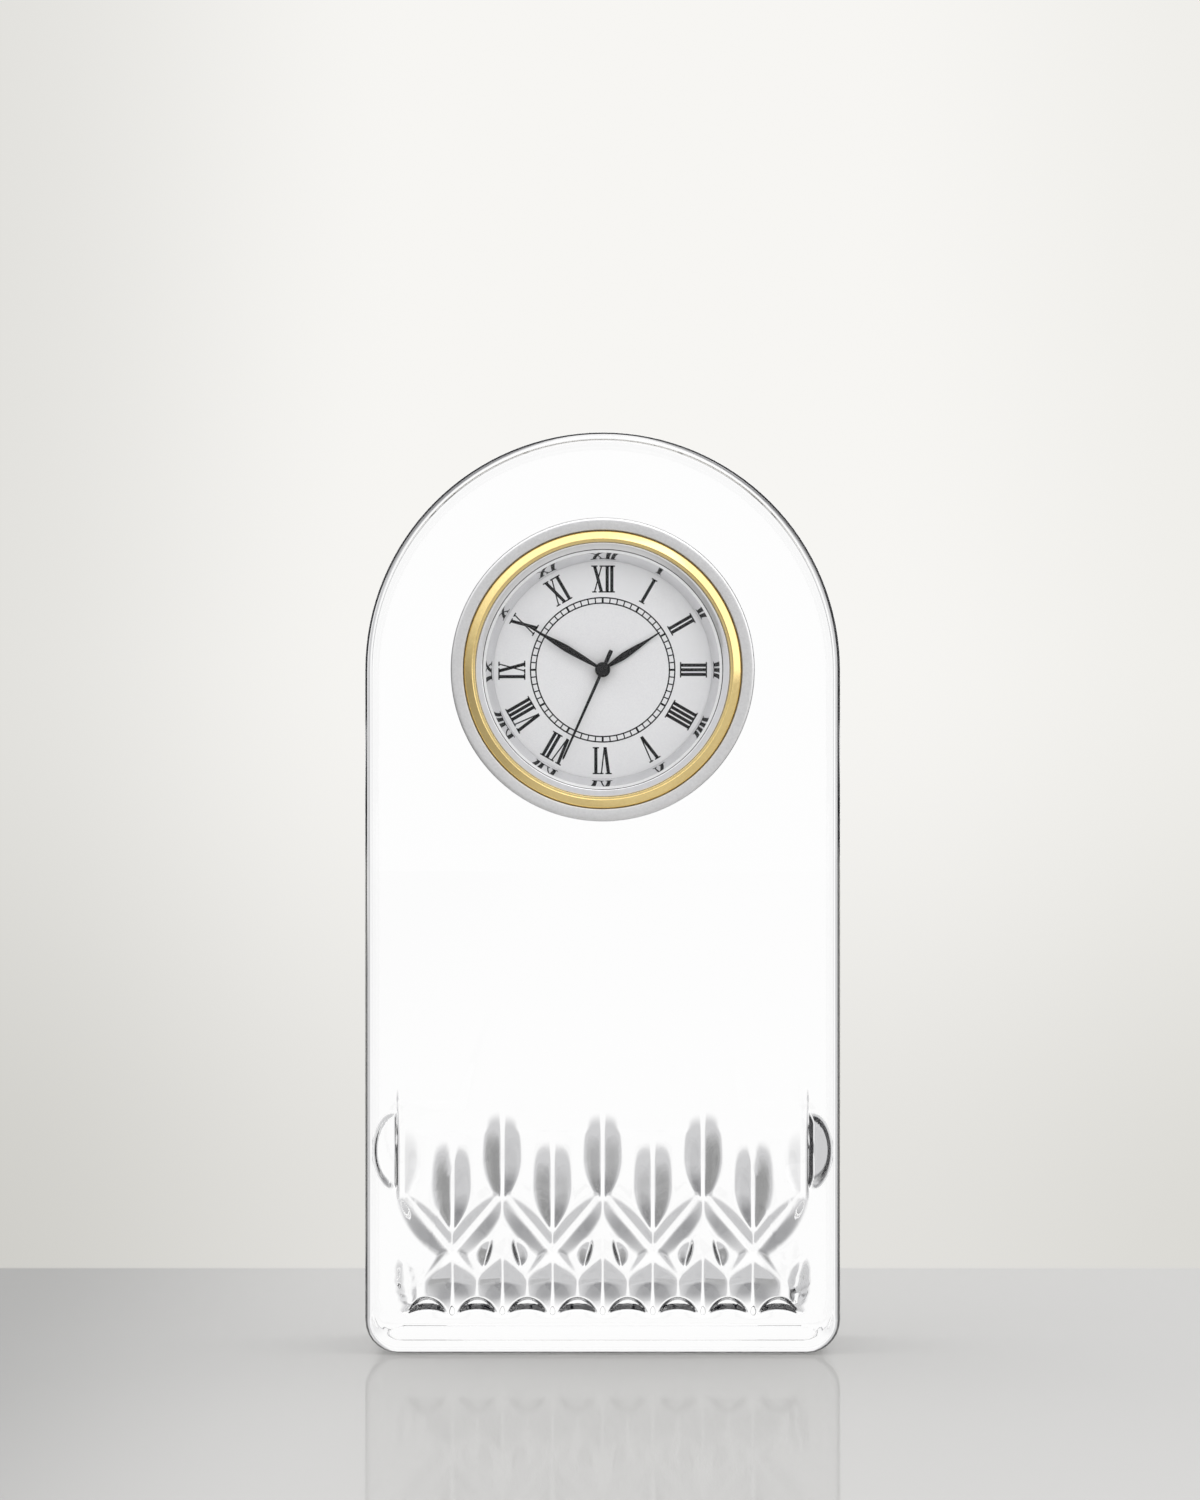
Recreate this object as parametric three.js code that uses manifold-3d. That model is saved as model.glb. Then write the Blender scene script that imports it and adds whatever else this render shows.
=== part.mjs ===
// A cut-crystal table clock: an arch-shaped slab of crystal with a bore, and a quartz insert that is
// pushed into the bore from the front and held there by a ribbed rubber band.
// Units are millimetres, +Z is up and the dial faces -Y. The origin is the centre of the underside.
import * as THREE from "three";
import { mergeVertices } from "three/addons/utils/BufferGeometryUtils.js";
import Module from "manifold-3d";

const wasm = await Module();
wasm.setup();

// Crystal body
const crystalWidth = 80;
const crystalHeight = 155;
const crystalDepth = 36;
const edgeWidth = 1.6;
const edgeThickness = 3.2;
const cornerRadius = 5.6;
const archSteps = 32;
const cornerSteps = 4;
const edgeSteps = 3;
const boreSteps = 40;

// Cut ornament on the front face, as heights over the underside
const upperRowCount = 5;
const ornamentMargin = 6.26;
const wedge = { width: 6.1, length: 14.8, wall: 50, facets: 4 };
const outermostShare = 0.45;
const upperWedgeHeight = 33.8;
const lowerWedgeHeight = 28.9;
const mitre = { width: 4.8, length: 12.6, wall: 57, facets: 3, height: 21.6, offset: 3.5, lean: 41 };
const leaf = { width: 2.2, length: 4.2, wall: 48, facets: 2, height: 17, offset: 2.45, lean: 17 };
const flute = { width: 8.4, length: 10, wall: 54, facets: 4, height: 11.2 };
const crescent = { width: 6.7, rise: 3, hollow: 1, depth: 2.2, height: 6.9 };
const edgeDish = { margin: 5.4, reach: 3.7, length: 12.8, depth: 2.2, height: 34.2 };
const edgeLeaf = { margin: 7.1, width: 2.8, length: 8.6, depth: 2.2, height: 11.7, lean: 8 };

// Clearances, and how far cutters run past a face and joined solids run into each other
const slideFit = 0.12;
const seatGap = 0.1;
const pressFit = 0.04;
const runningFit = 0.08;
const cutterReach = 1;
const rootLap = 0.1;

// Insert case, measured in depth from the crystal's front face
const boreDiameter = 46.4;
const flangeLap = 2.3;
const flangeThickness = 2.2;
const flangeEdge = 0.55;
const recessDepth = 1.4;
const ledgeThickness = 0.7;
const bandRoom = 0.6;
const barrelWall = 0.7;
const roundSteps = 28;
const smallSteps = 16;
const pipeSteps = 12;
const arborSteps = 8;

// Front rings, lens and dial
const flangeFace = 2.15;
const trimWidth = 1.95;
const trimHeight = 1.9;
const trimShoulder = 0.65;
const trimCrown = 0.7;
const trimStepWidth = 0.45;
const trimStepDrop = 0.4;
const lensRingWidth = 1.12;
const lensRingHeight = 1.2;
const lensRingSlope = 0.35;
const lensThickness = 0.9;
const lensBevel = 0.3;
const lensSeat = 0.5;
const reflectorHeight = 2.3;
const reflectorRun = 1.48;
const dialThickness = 0.4;
const dialFootDiameter = 0.9;
const dialFootReach = 11.2;

// Rubber band round the barrel
const bandStart = 1.2;
const bandLength = 6.6;
const bandThickness = 0.2;
const bandRibs = 3;

// Hands, turned clockwise from twelve as the photograph shows them
const hourAngle = 56.8;
const minuteAngle = 300.3;
const secondAngle = 204;
const handThickness = 0.2;
const handGap = 0.45;
const handTip = 0.16;
const hourHand = { margin: 6.7, hub: 1.25, root: 0.36, belly: 0.86, bellyAt: 4.2, neck: 0.28, needle: 2.2 };
const minuteHand = { margin: 2.3, hub: 1.2, root: 0.36, belly: 0.9, bellyAt: 7, neck: 0.3, needle: 4 };
const secondHand = { margin: 1.7, hub: 1.27, needle: 0.3, tail: 3.55, tailWidth: 0.6 };
const secondCapHeight = 0.55;
const secondSocket = 0.3;

// Movement plates
const motionSpace = 1.8;
const plateDiameter = 30;
const plateThickness = 1;
const trainSpace = 3.4;
const bridgeThickness = 0.8;
const bridgeArm = 3.2;
const pillarDiameter = 1.8;
const thirdPillar = { distance: 5.6, bearing: 165 };
const stemPillar = { distance: 3.8, bearing: 25 };
const rotorPillar = { distance: 4.1, bearing: -18 };
const screwHead = 1.8;
const screwHeadHeight = 0.5;
const screwShank = 0.7;
const screwDepth = 1.6;
const screwRoom = 0.2;
const holderFlange = 1.3;
const holderWall = 1.4;
const holderStep = 0.5;

// Arbors and pipes at the centre, each a radius
const secondArbor = 0.18;
const centreTubeWall = 0.14;
const cannonWall = 0.16;
const hourPipeWall = 0.18;
const arborRadius = 0.2;
const studRadius = 0.28;
const pivotFit = 0.06;

// Gear train
const pinionLeaves = 6;
const motionLeaves = 8;
const secondTeeth = 30;
const thirdTeeth = 45;
const centreTeeth = 48;
const intermediateTeeth = 36;
const minuteTeeth = 24;
const hourTeeth = 32;
const thirdDistance = 4.6;
const thirdBearing = 150;
const intermediateDistance = 4.8;
const intermediateBearing = 30;
const rotorDistance = 4.2;
const rotorBearing = -10;
const motionDistance = 3.6;
const motionBearing = -90;
const wheelThickness = 0.25;
const plateClearance = 0.25;
const trainGap = 0.5;
const dialClearance = 0.35;
const motionGap = 0.55;
const leafReach = 0.12;
const pivotDepth = 0.55;
const hubProud = 0.1;
const pressureAngle = 20;
const toothShare = 0.43;
const wheelAddendum = 0.8;
const pinionAddendum = 0.9;
const dedendum = 1.2;

// Stepping motor
const magnetRadius = 0.85;
const magnetThickness = 0.6;
const magnetClearance = 0.8;
const airGap = 0.3;
const statorThickness = 0.6;
const statorRing = 1.15;
const statorArm = 1.8;
const coilHeight = 9.5;
const coilLeft = -1;
const coilRight = 10.2;
const coreWidth = 1.7;
const coreThickness = 0.6;
const bobbinFlange = 3.3;
const bobbinFlangeWidth = 0.5;
const bobbinWall = 0.25;
const coilMargin = 0.4;
const windingDiameter = 2.9;

// Electronics and cell
const boardMargin = 0.8;
const boardWidth = 6.2;
const boardFrom = -70;
const boardTo = -6;
const boardThickness = 0.4;
const quartzOffset = 22;
const chipOffset = 14;
const quartzDiameter = 1.9;
const quartzLength = 5.6;
const chipSize = 2.8;
const chipHeight = 0.8;
const cellDiameter = 6.8;
const cellThickness = 2.6;
const cellRim = 0.35;
const cellAcross = -6.6;
const cellDown = -6.4;
const contactThickness = 0.15;
const contactWidth = 2.2;
const contactFootGap = 1.6;
const contactFootBearing = 160;
const contactTail = 1.3;
const contactOffset = 3;

// Back cover and setting knob
const coverRoom = 1.3;
const coverThickness = 0.9;
const coverSpigot = 1.1;
const coverSpigotWall = 1;
const coverNotch = { width: 3, depth: 0.6, height: 0.45 };
const coverBevel = 0.3;
const knobDiameter = 8;
const knobThickness = 2.1;
const knobFlutes = 12;
const knobFluteDepth = 0.25;
const knobEnd = 0.6;
const knobGap = 0.3;
const stemRadius = 0.55;

// Radii and depths that follow from the sizes above
const dialHeight = crystalHeight - crystalWidth / 2;
const cutPitch = (crystalWidth - 2 * ornamentMargin) / (upperRowCount - 1);
const boreRadius = boreDiameter / 2;
const flangeRadius = boreRadius + flangeLap;
const barrelRadius = boreRadius - bandRoom;
const barrelInside = barrelRadius - barrelWall;
const trimRadius = flangeRadius - flangeFace;
const trimInside = trimRadius - trimWidth;
const lensRingRadius = trimInside - seatGap;
const lensRingInside = lensRingRadius - lensRingWidth;
const lensRadius = lensRingInside - seatGap;
const ledgeRadius = lensRadius - lensSeat;
const dialOpening = ledgeRadius - reflectorRun;
const flangeFront = -seatGap - flangeThickness;
const recessFloor = flangeFront + recessDepth;
const ledgeBack = recessFloor + ledgeThickness;
const ringSeat = recessFloor - seatGap;
const reflectorFront = ledgeBack + seatGap;
const reflectorBack = reflectorFront + reflectorHeight;
const dialFront = reflectorBack + seatGap;
const dialBack = dialFront + dialThickness;
const plateFront = dialBack + motionSpace;
const plateBack = plateFront + plateThickness;
const bridgeFront = plateBack + trainSpace;
const bridgeBack = bridgeFront + bridgeThickness;
const barrelEnd = bridgeBack + screwHeadHeight + coverRoom;
const coverFront = barrelEnd + seatGap;
const coverBack = coverFront + coverThickness;
const hourHandFront = dialFront - handGap - handThickness;
const minuteHandFront = hourHandFront - handGap - handThickness;
const secondHandFront = minuteHandFront - handGap - handThickness;
const centreTubeBore = secondArbor + runningFit;
const centreTubeRadius = centreTubeBore + centreTubeWall;
const cannonBore = centreTubeRadius + pressFit;
const cannonRadius = cannonBore + cannonWall;
const hourPipeBore = cannonRadius + runningFit;
const hourPipeRadius = hourPipeBore + hourPipeWall;

// Depths of the wheels behind the plate, and of the motion work in front of it
const centreLevel = plateBack + plateClearance;
const thirdLevel = centreLevel + wheelThickness + trainGap;
const secondLevel = thirdLevel + wheelThickness + trainGap;
const intermediateLevel = secondLevel + wheelThickness + trainGap;
const magnetLevel = plateBack + magnetClearance;
const hourLevel = dialBack + dialClearance;
const minuteLevel = hourLevel + wheelThickness + motionGap;
const pivotFront = plateBack - pivotDepth;
const pivotBack = bridgeFront + pivotDepth;

// Places of the arbors, across and up from the centre of the dial
const centreAt = new THREE.Vector2(0, 0);
const thirdAt = polar(centreAt, thirdDistance, thirdBearing);
const intermediateAt = polar(centreAt, intermediateDistance, intermediateBearing);
const rotorAt = polar(intermediateAt, rotorDistance, rotorBearing);
const minuteAt = polar(centreAt, motionDistance, motionBearing);
const knobAt = polar(minuteAt, motionDistance, motionBearing);
const cellAt = new THREE.Vector2(cellAcross, cellDown);
const coilLeftAt = new THREE.Vector2(coilLeft, coilHeight);
const coilRightAt = new THREE.Vector2(coilRight, coilHeight);
const pillars = [
  polar(thirdAt, thirdPillar.distance, thirdPillar.bearing),
  polar(knobAt, stemPillar.distance, stemPillar.bearing),
  polar(rotorAt, rotorPillar.distance, rotorPillar.bearing),
];

function polar(from, distance, degrees) {
  const angle = THREE.MathUtils.degToRad(degrees);
  return new THREE.Vector2(
    from.x + distance * Math.cos(angle),
    from.y + distance * Math.sin(angle),
  );
}

// Geometry helpers: every solid is a manifold until it is given its mesh
function solid(geometry) {
  geometry.deleteAttribute("normal");
  geometry.deleteAttribute("uv");
  const merged = mergeVertices(geometry, 1e-4);
  return new wasm.Manifold(
    new wasm.Mesh({
      numProp: 3,
      vertProperties: merged.attributes.position.array,
      triVerts: new Uint32Array(merged.index.array),
    }),
  );
}

// A closed profile of [radius, depth] pairs turned about the depth axis
function revolve(profile, steps = roundSteps) {
  const points = profile.map(([r, y]) => new THREE.Vector2(r, y));
  if (THREE.ShapeUtils.area(points) < 0) points.reverse();
  const onAxis = points.some((p) => p.x === 0);
  if (onAxis) {
    while (points[0].x !== 0 || points[points.length - 1].x !== 0) points.push(points.shift());
  } else {
    points.push(points[0].clone());
  }
  return solid(new THREE.LatheGeometry(points, steps));
}

function cylinder(radius, front, back, at = centreAt, steps = arborSteps) {
  const made = new THREE.CylinderGeometry(radius, radius, back - front, steps);
  made.translate(at.x, (front + back) / 2, at.y);
  return solid(made);
}

// A cylinder that cuts right through what lies between two depths
function drill(radius, front, back, at = centreAt, steps = arborSteps) {
  return cylinder(radius, front - cutterReach, back + cutterReach, at, steps);
}

function box(across, front, back, up) {
  const [left, right] = across;
  const [low, high] = up;
  const made = new THREE.BoxGeometry(right - left, back - front, high - low);
  made.translate((left + right) / 2, (front + back) / 2, (low + high) / 2);
  return solid(made);
}

// An outline drawn across and up, made solid from one depth to another
function slab(shape, front, back, curveSegments = 6) {
  const made = new THREE.ExtrudeGeometry(shape, {
    depth: back - front,
    bevelEnabled: false,
    curveSegments,
  });
  made.rotateX(Math.PI / 2);
  made.translate(0, back, 0);
  return solid(made);
}

// A bar with round ends between two places
function bar(from, to, width, front, back) {
  const along = to.clone().sub(from);
  const half = width / 2;
  const shape = new THREE.Shape();
  shape.absarc(along.length(), 0, half, -Math.PI / 2, Math.PI / 2);
  shape.absarc(0, 0, half, Math.PI / 2, (Math.PI * 3) / 2);
  const made = new THREE.ExtrudeGeometry(shape, {
    depth: back - front,
    bevelEnabled: false,
    curveSegments: 4,
  });
  made.rotateZ(along.angle());
  made.rotateX(Math.PI / 2);
  made.translate(from.x, back, from.y);
  return solid(made);
}

function join(solids) {
  return solids.reduce((whole, piece) => whole.add(piece));
}

function node(name, shape, colour, roughness, metalness, at = centreAt) {
  const data = shape.getMesh();
  const geometry = new THREE.BufferGeometry();
  geometry.setAttribute("position", new THREE.BufferAttribute(data.vertProperties, 3));
  geometry.setIndex(new THREE.BufferAttribute(data.triVerts, 1));
  geometry.computeVertexNormals();
  const material = new THREE.MeshStandardMaterial({ color: colour, roughness, metalness });
  const mesh = new THREE.Mesh(geometry, material);
  mesh.name = name;
  mesh.position.set(at.x, 0, at.y);
  return mesh;
}

// Crystal body

function arc(middle, radius, from, to, steps) {
  const points = [];
  for (let step = 0; step <= steps; step += 1) {
    points.push(polar(middle, radius, from + ((to - from) * step) / steps));
  }
  return points;
}

// The arch outline, straight sides rising to a half circle, with rounded bottom corners
function archOutline() {
  const half = crystalWidth / 2;
  const right = new THREE.Vector2(half - cornerRadius, cornerRadius);
  const left = new THREE.Vector2(-right.x, cornerRadius);
  return new THREE.Shape([
    ...arc(right, cornerRadius, -90, 0, cornerSteps),
    ...arc(new THREE.Vector2(0, dialHeight), half, 0, 180, archSteps),
    ...arc(left, cornerRadius, 180, 270, cornerSteps),
  ]);
}

function crystalBlank() {
  const made = new THREE.ExtrudeGeometry(archOutline(), {
    depth: crystalDepth - 2 * edgeThickness,
    bevelEnabled: true,
    bevelThickness: edgeThickness,
    bevelSize: edgeWidth,
    bevelOffset: -edgeWidth,
    bevelSegments: edgeSteps,
  });
  made.rotateX(Math.PI / 2);
  made.translate(0, crystalDepth / 2 - edgeThickness, 0);
  return solid(made);
}

// A cutting wheel with a V-shaped rim. Sunk into a flat face it leaves a pointed oval of the given
// width and length, whose two walls meet in a straight root. The wall angle is from the V's middle.
function cuttingWheel({ width, length, wall, facets }) {
  const slope = Math.tan(THREE.MathUtils.degToRad(wall));
  const depth = width / 2 / slope;
  const radius = (length * length) / (8 * depth) + depth / 2;
  const rim = Math.min(2 * depth + cutterReach, radius / 2);
  const span = 2 * Math.asin(length / 2 / radius);
  const steps = Math.ceil((2 * Math.PI * facets) / span);
  const wheel = revolve(
    [
      [0, -rim * slope],
      [radius - rim, -rim * slope],
      [radius, 0],
      [radius - rim, rim * slope],
      [0, rim * slope],
    ],
    steps,
  );
  return { wheel, radius, depth };
}

// The wheel held against the front face, its groove turned from upright by lean degrees
function faceCut(cut, across, height, lean = 0) {
  const { wheel, radius, depth } = cuttingWheel(cut);
  return wheel
    .rotate([0, 0, 90])
    .rotate([0, lean, 0])
    .translate([across, -crystalDepth / 2 - radius + depth, height]);
}

// Shapes cut straight down from the front face to one depth
function dishCut(shape, depth, curveSegments) {
  return slab(shape, -crystalDepth / 2 - cutterReach, -crystalDepth / 2 + depth, curveSegments);
}

// Half an oval beside an upright line, on the rounded side edge
function edgeDishCut(side) {
  const line = side * (crystalWidth / 2 - edgeDish.margin);
  const start = (-side * Math.PI) / 2;
  const shape = new THREE.Shape();
  shape.absellipse(line, edgeDish.height, edgeDish.reach, edgeDish.length / 2, start, start + Math.PI);
  return dishCut(shape, edgeDish.depth, 5);
}

// A leaning oval beside the outermost flute
function edgeLeafCut(side) {
  const across = side * (crystalWidth / 2 - edgeLeaf.margin);
  const lean = THREE.MathUtils.degToRad(-side * edgeLeaf.lean);
  const shape = new THREE.Shape();
  const { width, length, height } = edgeLeaf;
  shape.absellipse(across, height, width / 2, length / 2, 0, 2 * Math.PI, false, lean);
  return dishCut(shape, edgeLeaf.depth, 7);
}

function crescentCut(across) {
  const half = crescent.width / 2;
  const outer = (half * half + crescent.rise * crescent.rise) / (2 * crescent.rise);
  const inner = (half * half + crescent.hollow * crescent.hollow) / (2 * crescent.hollow);
  const outerHalf = Math.PI / 2 - Math.atan2(outer - crescent.rise, half);
  const innerHalf = Math.asin(half / inner);
  const shape = new THREE.Shape();
  const lowOuter = crescent.height + crescent.rise - outer;
  const lowInner = crescent.height + crescent.hollow - inner;
  shape.absarc(across, lowOuter, outer, Math.PI / 2 - outerHalf, Math.PI / 2 + outerHalf);
  shape.absarc(across, lowInner, inner, Math.PI / 2 + innerHalf, Math.PI / 2 - innerHalf, true);
  return dishCut(shape, crescent.depth, 3);
}

// What stands at one place along the rows: a wedge over a flute, with two leaves under an upper wedge
// and two mitres that meet under a lower one. The outermost places hold only a shallow wedge.
function placeCuts(across, upper, outermost) {
  const height = upper ? upperWedgeHeight : lowerWedgeHeight;
  if (outermost) return [faceCut({ ...wedge, width: wedge.width * outermostShare }, across, height)];
  const cuts = [faceCut(wedge, across, height), faceCut(flute, across, flute.height)];
  const beside = upper ? leaf : mitre;
  for (const side of [-1, 1]) {
    const lean = upper ? -side * leaf.lean : side * mitre.lean;
    cuts.push(faceCut(beside, across + side * beside.offset, beside.height, lean));
  }
  return cuts;
}

function ornamentCuts() {
  const cuts = [edgeDishCut(-1), edgeDishCut(1), edgeLeafCut(-1), edgeLeafCut(1)];
  const outermost = (upperRowCount - 1) / 2;
  for (let place = -outermost; place <= outermost; place += 0.5) {
    const upper = Number.isInteger(place + outermost);
    cuts.push(...placeCuts(place * cutPitch, upper, Math.abs(place) === outermost));
    if (place < outermost) cuts.push(crescentCut((place + 0.25) * cutPitch));
  }
  return join(cuts);
}

function crystalBody() {
  const bore = cylinder(
    boreRadius,
    -crystalDepth,
    crystalDepth,
    new THREE.Vector2(0, dialHeight),
    boreSteps,
  );
  return crystalBlank().subtract(bore).subtract(ornamentCuts());
}

// Case and front rings

function caseBody() {
  return revolve([
    [flangeRadius, -seatGap],
    [flangeRadius, flangeFront + 2 * flangeEdge],
    [flangeRadius - flangeEdge / 2, flangeFront + flangeEdge / 2],
    [flangeRadius - 2 * flangeEdge, flangeFront],
    [trimRadius + seatGap, flangeFront],
    [trimRadius + seatGap, recessFloor],
    [ledgeRadius, recessFloor],
    [ledgeRadius, ledgeBack],
    [barrelInside, ledgeBack],
    [barrelInside, barrelEnd],
    [barrelRadius, barrelEnd],
    [barrelRadius, -seatGap],
  ]);
}

function trimRing() {
  const front = ringSeat - trimHeight;
  return revolve([
    [trimRadius, ringSeat],
    [trimRadius, front + trimShoulder],
    [trimRadius - trimCrown / 3, front + trimShoulder / 3],
    [trimRadius - trimCrown, front],
    [trimInside + trimStepWidth, front + trimStepDrop / 2],
    [trimInside + trimStepWidth, front + trimStepDrop],
    [trimInside, front + trimStepDrop],
    [trimInside, ringSeat],
  ]);
}

function lensRing() {
  const front = ringSeat - lensRingHeight;
  return revolve([
    [lensRingRadius, ringSeat],
    [lensRingRadius, front],
    [lensRingInside, front + lensRingSlope],
    [lensRingInside, ringSeat],
  ]);
}

function lens() {
  return revolve([
    [0, ringSeat],
    [lensRadius, ringSeat],
    [lensRadius, ringSeat - lensThickness + lensBevel],
    [lensRadius - lensBevel, ringSeat - lensThickness],
    [0, ringSeat - lensThickness],
  ]);
}

function reflectorRing() {
  const outside = barrelInside - seatGap;
  return revolve([
    [outside, reflectorFront],
    [ledgeRadius, reflectorFront],
    [dialOpening, reflectorBack],
    [outside, reflectorBack],
  ]);
}

function dial() {
  const disc = cylinder(barrelInside - seatGap, dialFront, dialBack, centreAt, roundSteps);
  const feet = [-1, 1].map((side) =>
    cylinder(
      dialFootDiameter / 2,
      dialFront + dialThickness / 2,
      plateFront + plateThickness / 2,
      new THREE.Vector2(0, side * dialFootReach),
    ),
  );
  const hole = drill(hourPipeRadius + slideFit, dialFront, dialBack, centreAt, smallSteps);
  return join([disc, ...feet]).subtract(hole);
}

function gripBand() {
  const inside = barrelRadius + seatGap;
  const ribTop = boreRadius - slideFit;
  const pitch = bandLength / bandRibs;
  const profile = [
    [inside, bandStart + bandLength],
    [inside, bandStart],
  ];
  for (let rib = 0; rib < bandRibs; rib += 1) {
    const start = bandStart + rib * pitch;
    profile.push([inside + bandThickness, start]);
    profile.push([ribTop, start + pitch / 2]);
  }
  profile.push([inside + bandThickness, bandStart + bandLength]);
  return revolve(profile);
}

// Hands

// A hand seen from the front, pointing to twelve: it swells from its root to a belly and tapers
// to a needle
function taperedHand(hand, bore, front) {
  const back = front + handThickness;
  const length = dialOpening - hand.margin;
  const neckAt = length - hand.needle;
  const shape = new THREE.Shape();
  shape.moveTo(-hand.root / 2, 0);
  shape.lineTo(hand.root / 2, 0);
  shape.lineTo(hand.root / 2, hand.hub);
  shape.quadraticCurveTo(hand.belly / 2, hand.bellyAt * 0.7, hand.belly / 2, hand.bellyAt);
  shape.quadraticCurveTo(hand.neck / 2, hand.bellyAt * 1.6, hand.neck / 2, neckAt);
  shape.lineTo(handTip / 2, length);
  shape.lineTo(-handTip / 2, length);
  shape.lineTo(-hand.neck / 2, neckAt);
  shape.quadraticCurveTo(-hand.neck / 2, hand.bellyAt * 1.6, -hand.belly / 2, hand.bellyAt);
  shape.quadraticCurveTo(-hand.belly / 2, hand.bellyAt * 0.7, -hand.root / 2, hand.hub);
  const hub = cylinder(hand.hub, front, back, centreAt, smallSteps);
  const hole = drill(bore, front, back, centreAt, smallSteps);
  return slab(shape, front, back, 4).add(hub).subtract(hole);
}

function needleHand(front) {
  const back = front + handThickness;
  const half = secondHand.needle / 2;
  const needle = box([-half, half], front, back, [0, dialOpening - secondHand.margin]);
  const wide = secondHand.tailWidth / 2;
  const tail = box([-wide, wide], front, back, [-secondHand.tail, 0]);
  const cap = cylinder(secondHand.hub, back - secondCapHeight, back, centreAt, smallSteps);
  const socket = cylinder(secondArbor + pressFit, back - secondSocket, back + cutterReach);
  return join([needle, tail, cap]).subtract(socket);
}

// Gears

function involute(angle) {
  return Math.tan(angle) - angle;
}

// The outline of a spur gear with its first tooth at phase degrees. Each flank goes from root to tip
// through points of the involute, and a curved one has a point on the base circle as well.
function gearShape(teeth, module, addendum, curved, phase) {
  const alpha = THREE.MathUtils.degToRad(pressureAngle);
  const pitchRadius = (teeth * module) / 2;
  const baseRadius = pitchRadius * Math.cos(alpha);
  const tipRadius = pitchRadius + addendum * module;
  const rootRadius = pitchRadius - dedendum * module;
  const halfAngle = (radius) => {
    const grown = radius > baseRadius ? involute(Math.acos(baseRadius / radius)) : 0;
    return (Math.PI * toothShare) / teeth + involute(alpha) - grown;
  };
  const radii = [rootRadius, ...(curved ? [baseRadius] : []), tipRadius];
  const points = [];
  for (let tooth = 0; tooth < teeth; tooth += 1) {
    const middle = THREE.MathUtils.degToRad(phase) + (2 * Math.PI * tooth) / teeth;
    const place = (radius, angle) =>
      points.push(new THREE.Vector2(radius * Math.cos(angle), radius * Math.sin(angle)));
    radii.forEach((radius) => place(radius, middle - halfAngle(radius)));
    [...radii].reverse().forEach((radius) => place(radius, middle + halfAngle(radius)));
  }
  return new THREE.Shape(points);
}

// A wheel whose tooth gap faces the pinion at the bearing given
function wheel(teeth, module, front, bearing) {
  const shape = gearShape(teeth, module, wheelAddendum, false, bearing + 180 / teeth);
  return slab(shape, front, front + wheelThickness);
}

// A pinion with one leaf on the bearing given
function pinion(leaves, module, front, back, bearing) {
  return slab(gearShape(leaves, module, pinionAddendum, true, bearing), front, back);
}

const secondModule = (2 * thirdDistance) / (pinionLeaves + thirdTeeth);
const thirdModule = (2 * thirdDistance) / (pinionLeaves + centreTeeth);
const intermediateModule = (2 * intermediateDistance) / (pinionLeaves + secondTeeth);
const rotorModule = (2 * rotorDistance) / (pinionLeaves + intermediateTeeth);
const cannonModule = (2 * motionDistance) / (motionLeaves + minuteTeeth);
const minuteModule = (2 * motionDistance) / (motionLeaves + hourTeeth);

function secondWheel() {
  const shaftFront = secondHandFront + handThickness - secondSocket + pressFit;
  return join([
    cylinder(secondArbor, shaftFront, pivotBack),
    wheel(secondTeeth, intermediateModule, secondLevel, intermediateBearing),
    pinion(pinionLeaves, secondModule, thirdLevel - leafReach, secondLevel, thirdBearing),
  ]);
}

function thirdWheel() {
  return join([
    cylinder(arborRadius, pivotFront, pivotBack),
    wheel(thirdTeeth, secondModule, thirdLevel, thirdBearing + 180),
    pinion(pinionLeaves, thirdModule, centreLevel - leafReach, thirdLevel, thirdBearing + 180),
  ]);
}

// The centre wheel drives the cannon pinion by friction on its tube
function centreWheel() {
  const tubeBack = centreLevel + wheelThickness + hubProud;
  const tube = cylinder(centreTubeRadius, hourHandFront, tubeBack, centreAt, pipeSteps);
  const bore = drill(centreTubeBore, hourHandFront, tubeBack, centreAt, pipeSteps);
  return tube.add(wheel(centreTeeth, thirdModule, centreLevel, thirdBearing)).subtract(bore);
}

function cannonPinion() {
  const front = minuteHandFront - hubProud;
  const back = minuteLevel + wheelThickness + leafReach;
  const pipe = cylinder(cannonRadius, front, back, centreAt, pipeSteps);
  const leaves = pinion(motionLeaves, cannonModule, minuteLevel - leafReach, back, motionBearing);
  return pipe.add(leaves).subtract(drill(cannonBore, front, back, centreAt, pipeSteps));
}

function minuteWheel() {
  const bearing = motionBearing + 180;
  return wheel(minuteTeeth, cannonModule, minuteLevel, bearing)
    .add(pinion(motionLeaves, minuteModule, hourLevel - leafReach, minuteLevel, bearing))
    .subtract(drill(studRadius + pivotFit, hourLevel, minuteLevel));
}

function hourWheel() {
  const front = hourHandFront - hubProud;
  const back = hourLevel + wheelThickness;
  const pipe = cylinder(hourPipeRadius, front, back, centreAt, pipeSteps);
  return pipe
    .add(wheel(hourTeeth, minuteModule, hourLevel, motionBearing))
    .subtract(drill(hourPipeBore, front, back, centreAt, pipeSteps));
}

function intermediateWheel() {
  const leavesFront = secondLevel - leafReach;
  const bearing = intermediateBearing + 180;
  return join([
    cylinder(arborRadius, pivotFront, pivotBack),
    wheel(intermediateTeeth, rotorModule, intermediateLevel, rotorBearing),
    pinion(pinionLeaves, intermediateModule, leavesFront, intermediateLevel, bearing),
  ]);
}

function rotorPinion() {
  const leavesFront = intermediateLevel - leafReach;
  const leavesBack = intermediateLevel + wheelThickness + leafReach;
  return join([
    cylinder(arborRadius, pivotFront, pivotBack),
    pinion(pinionLeaves, rotorModule, leavesFront, leavesBack, rotorBearing + 180),
  ]);
}

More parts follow.
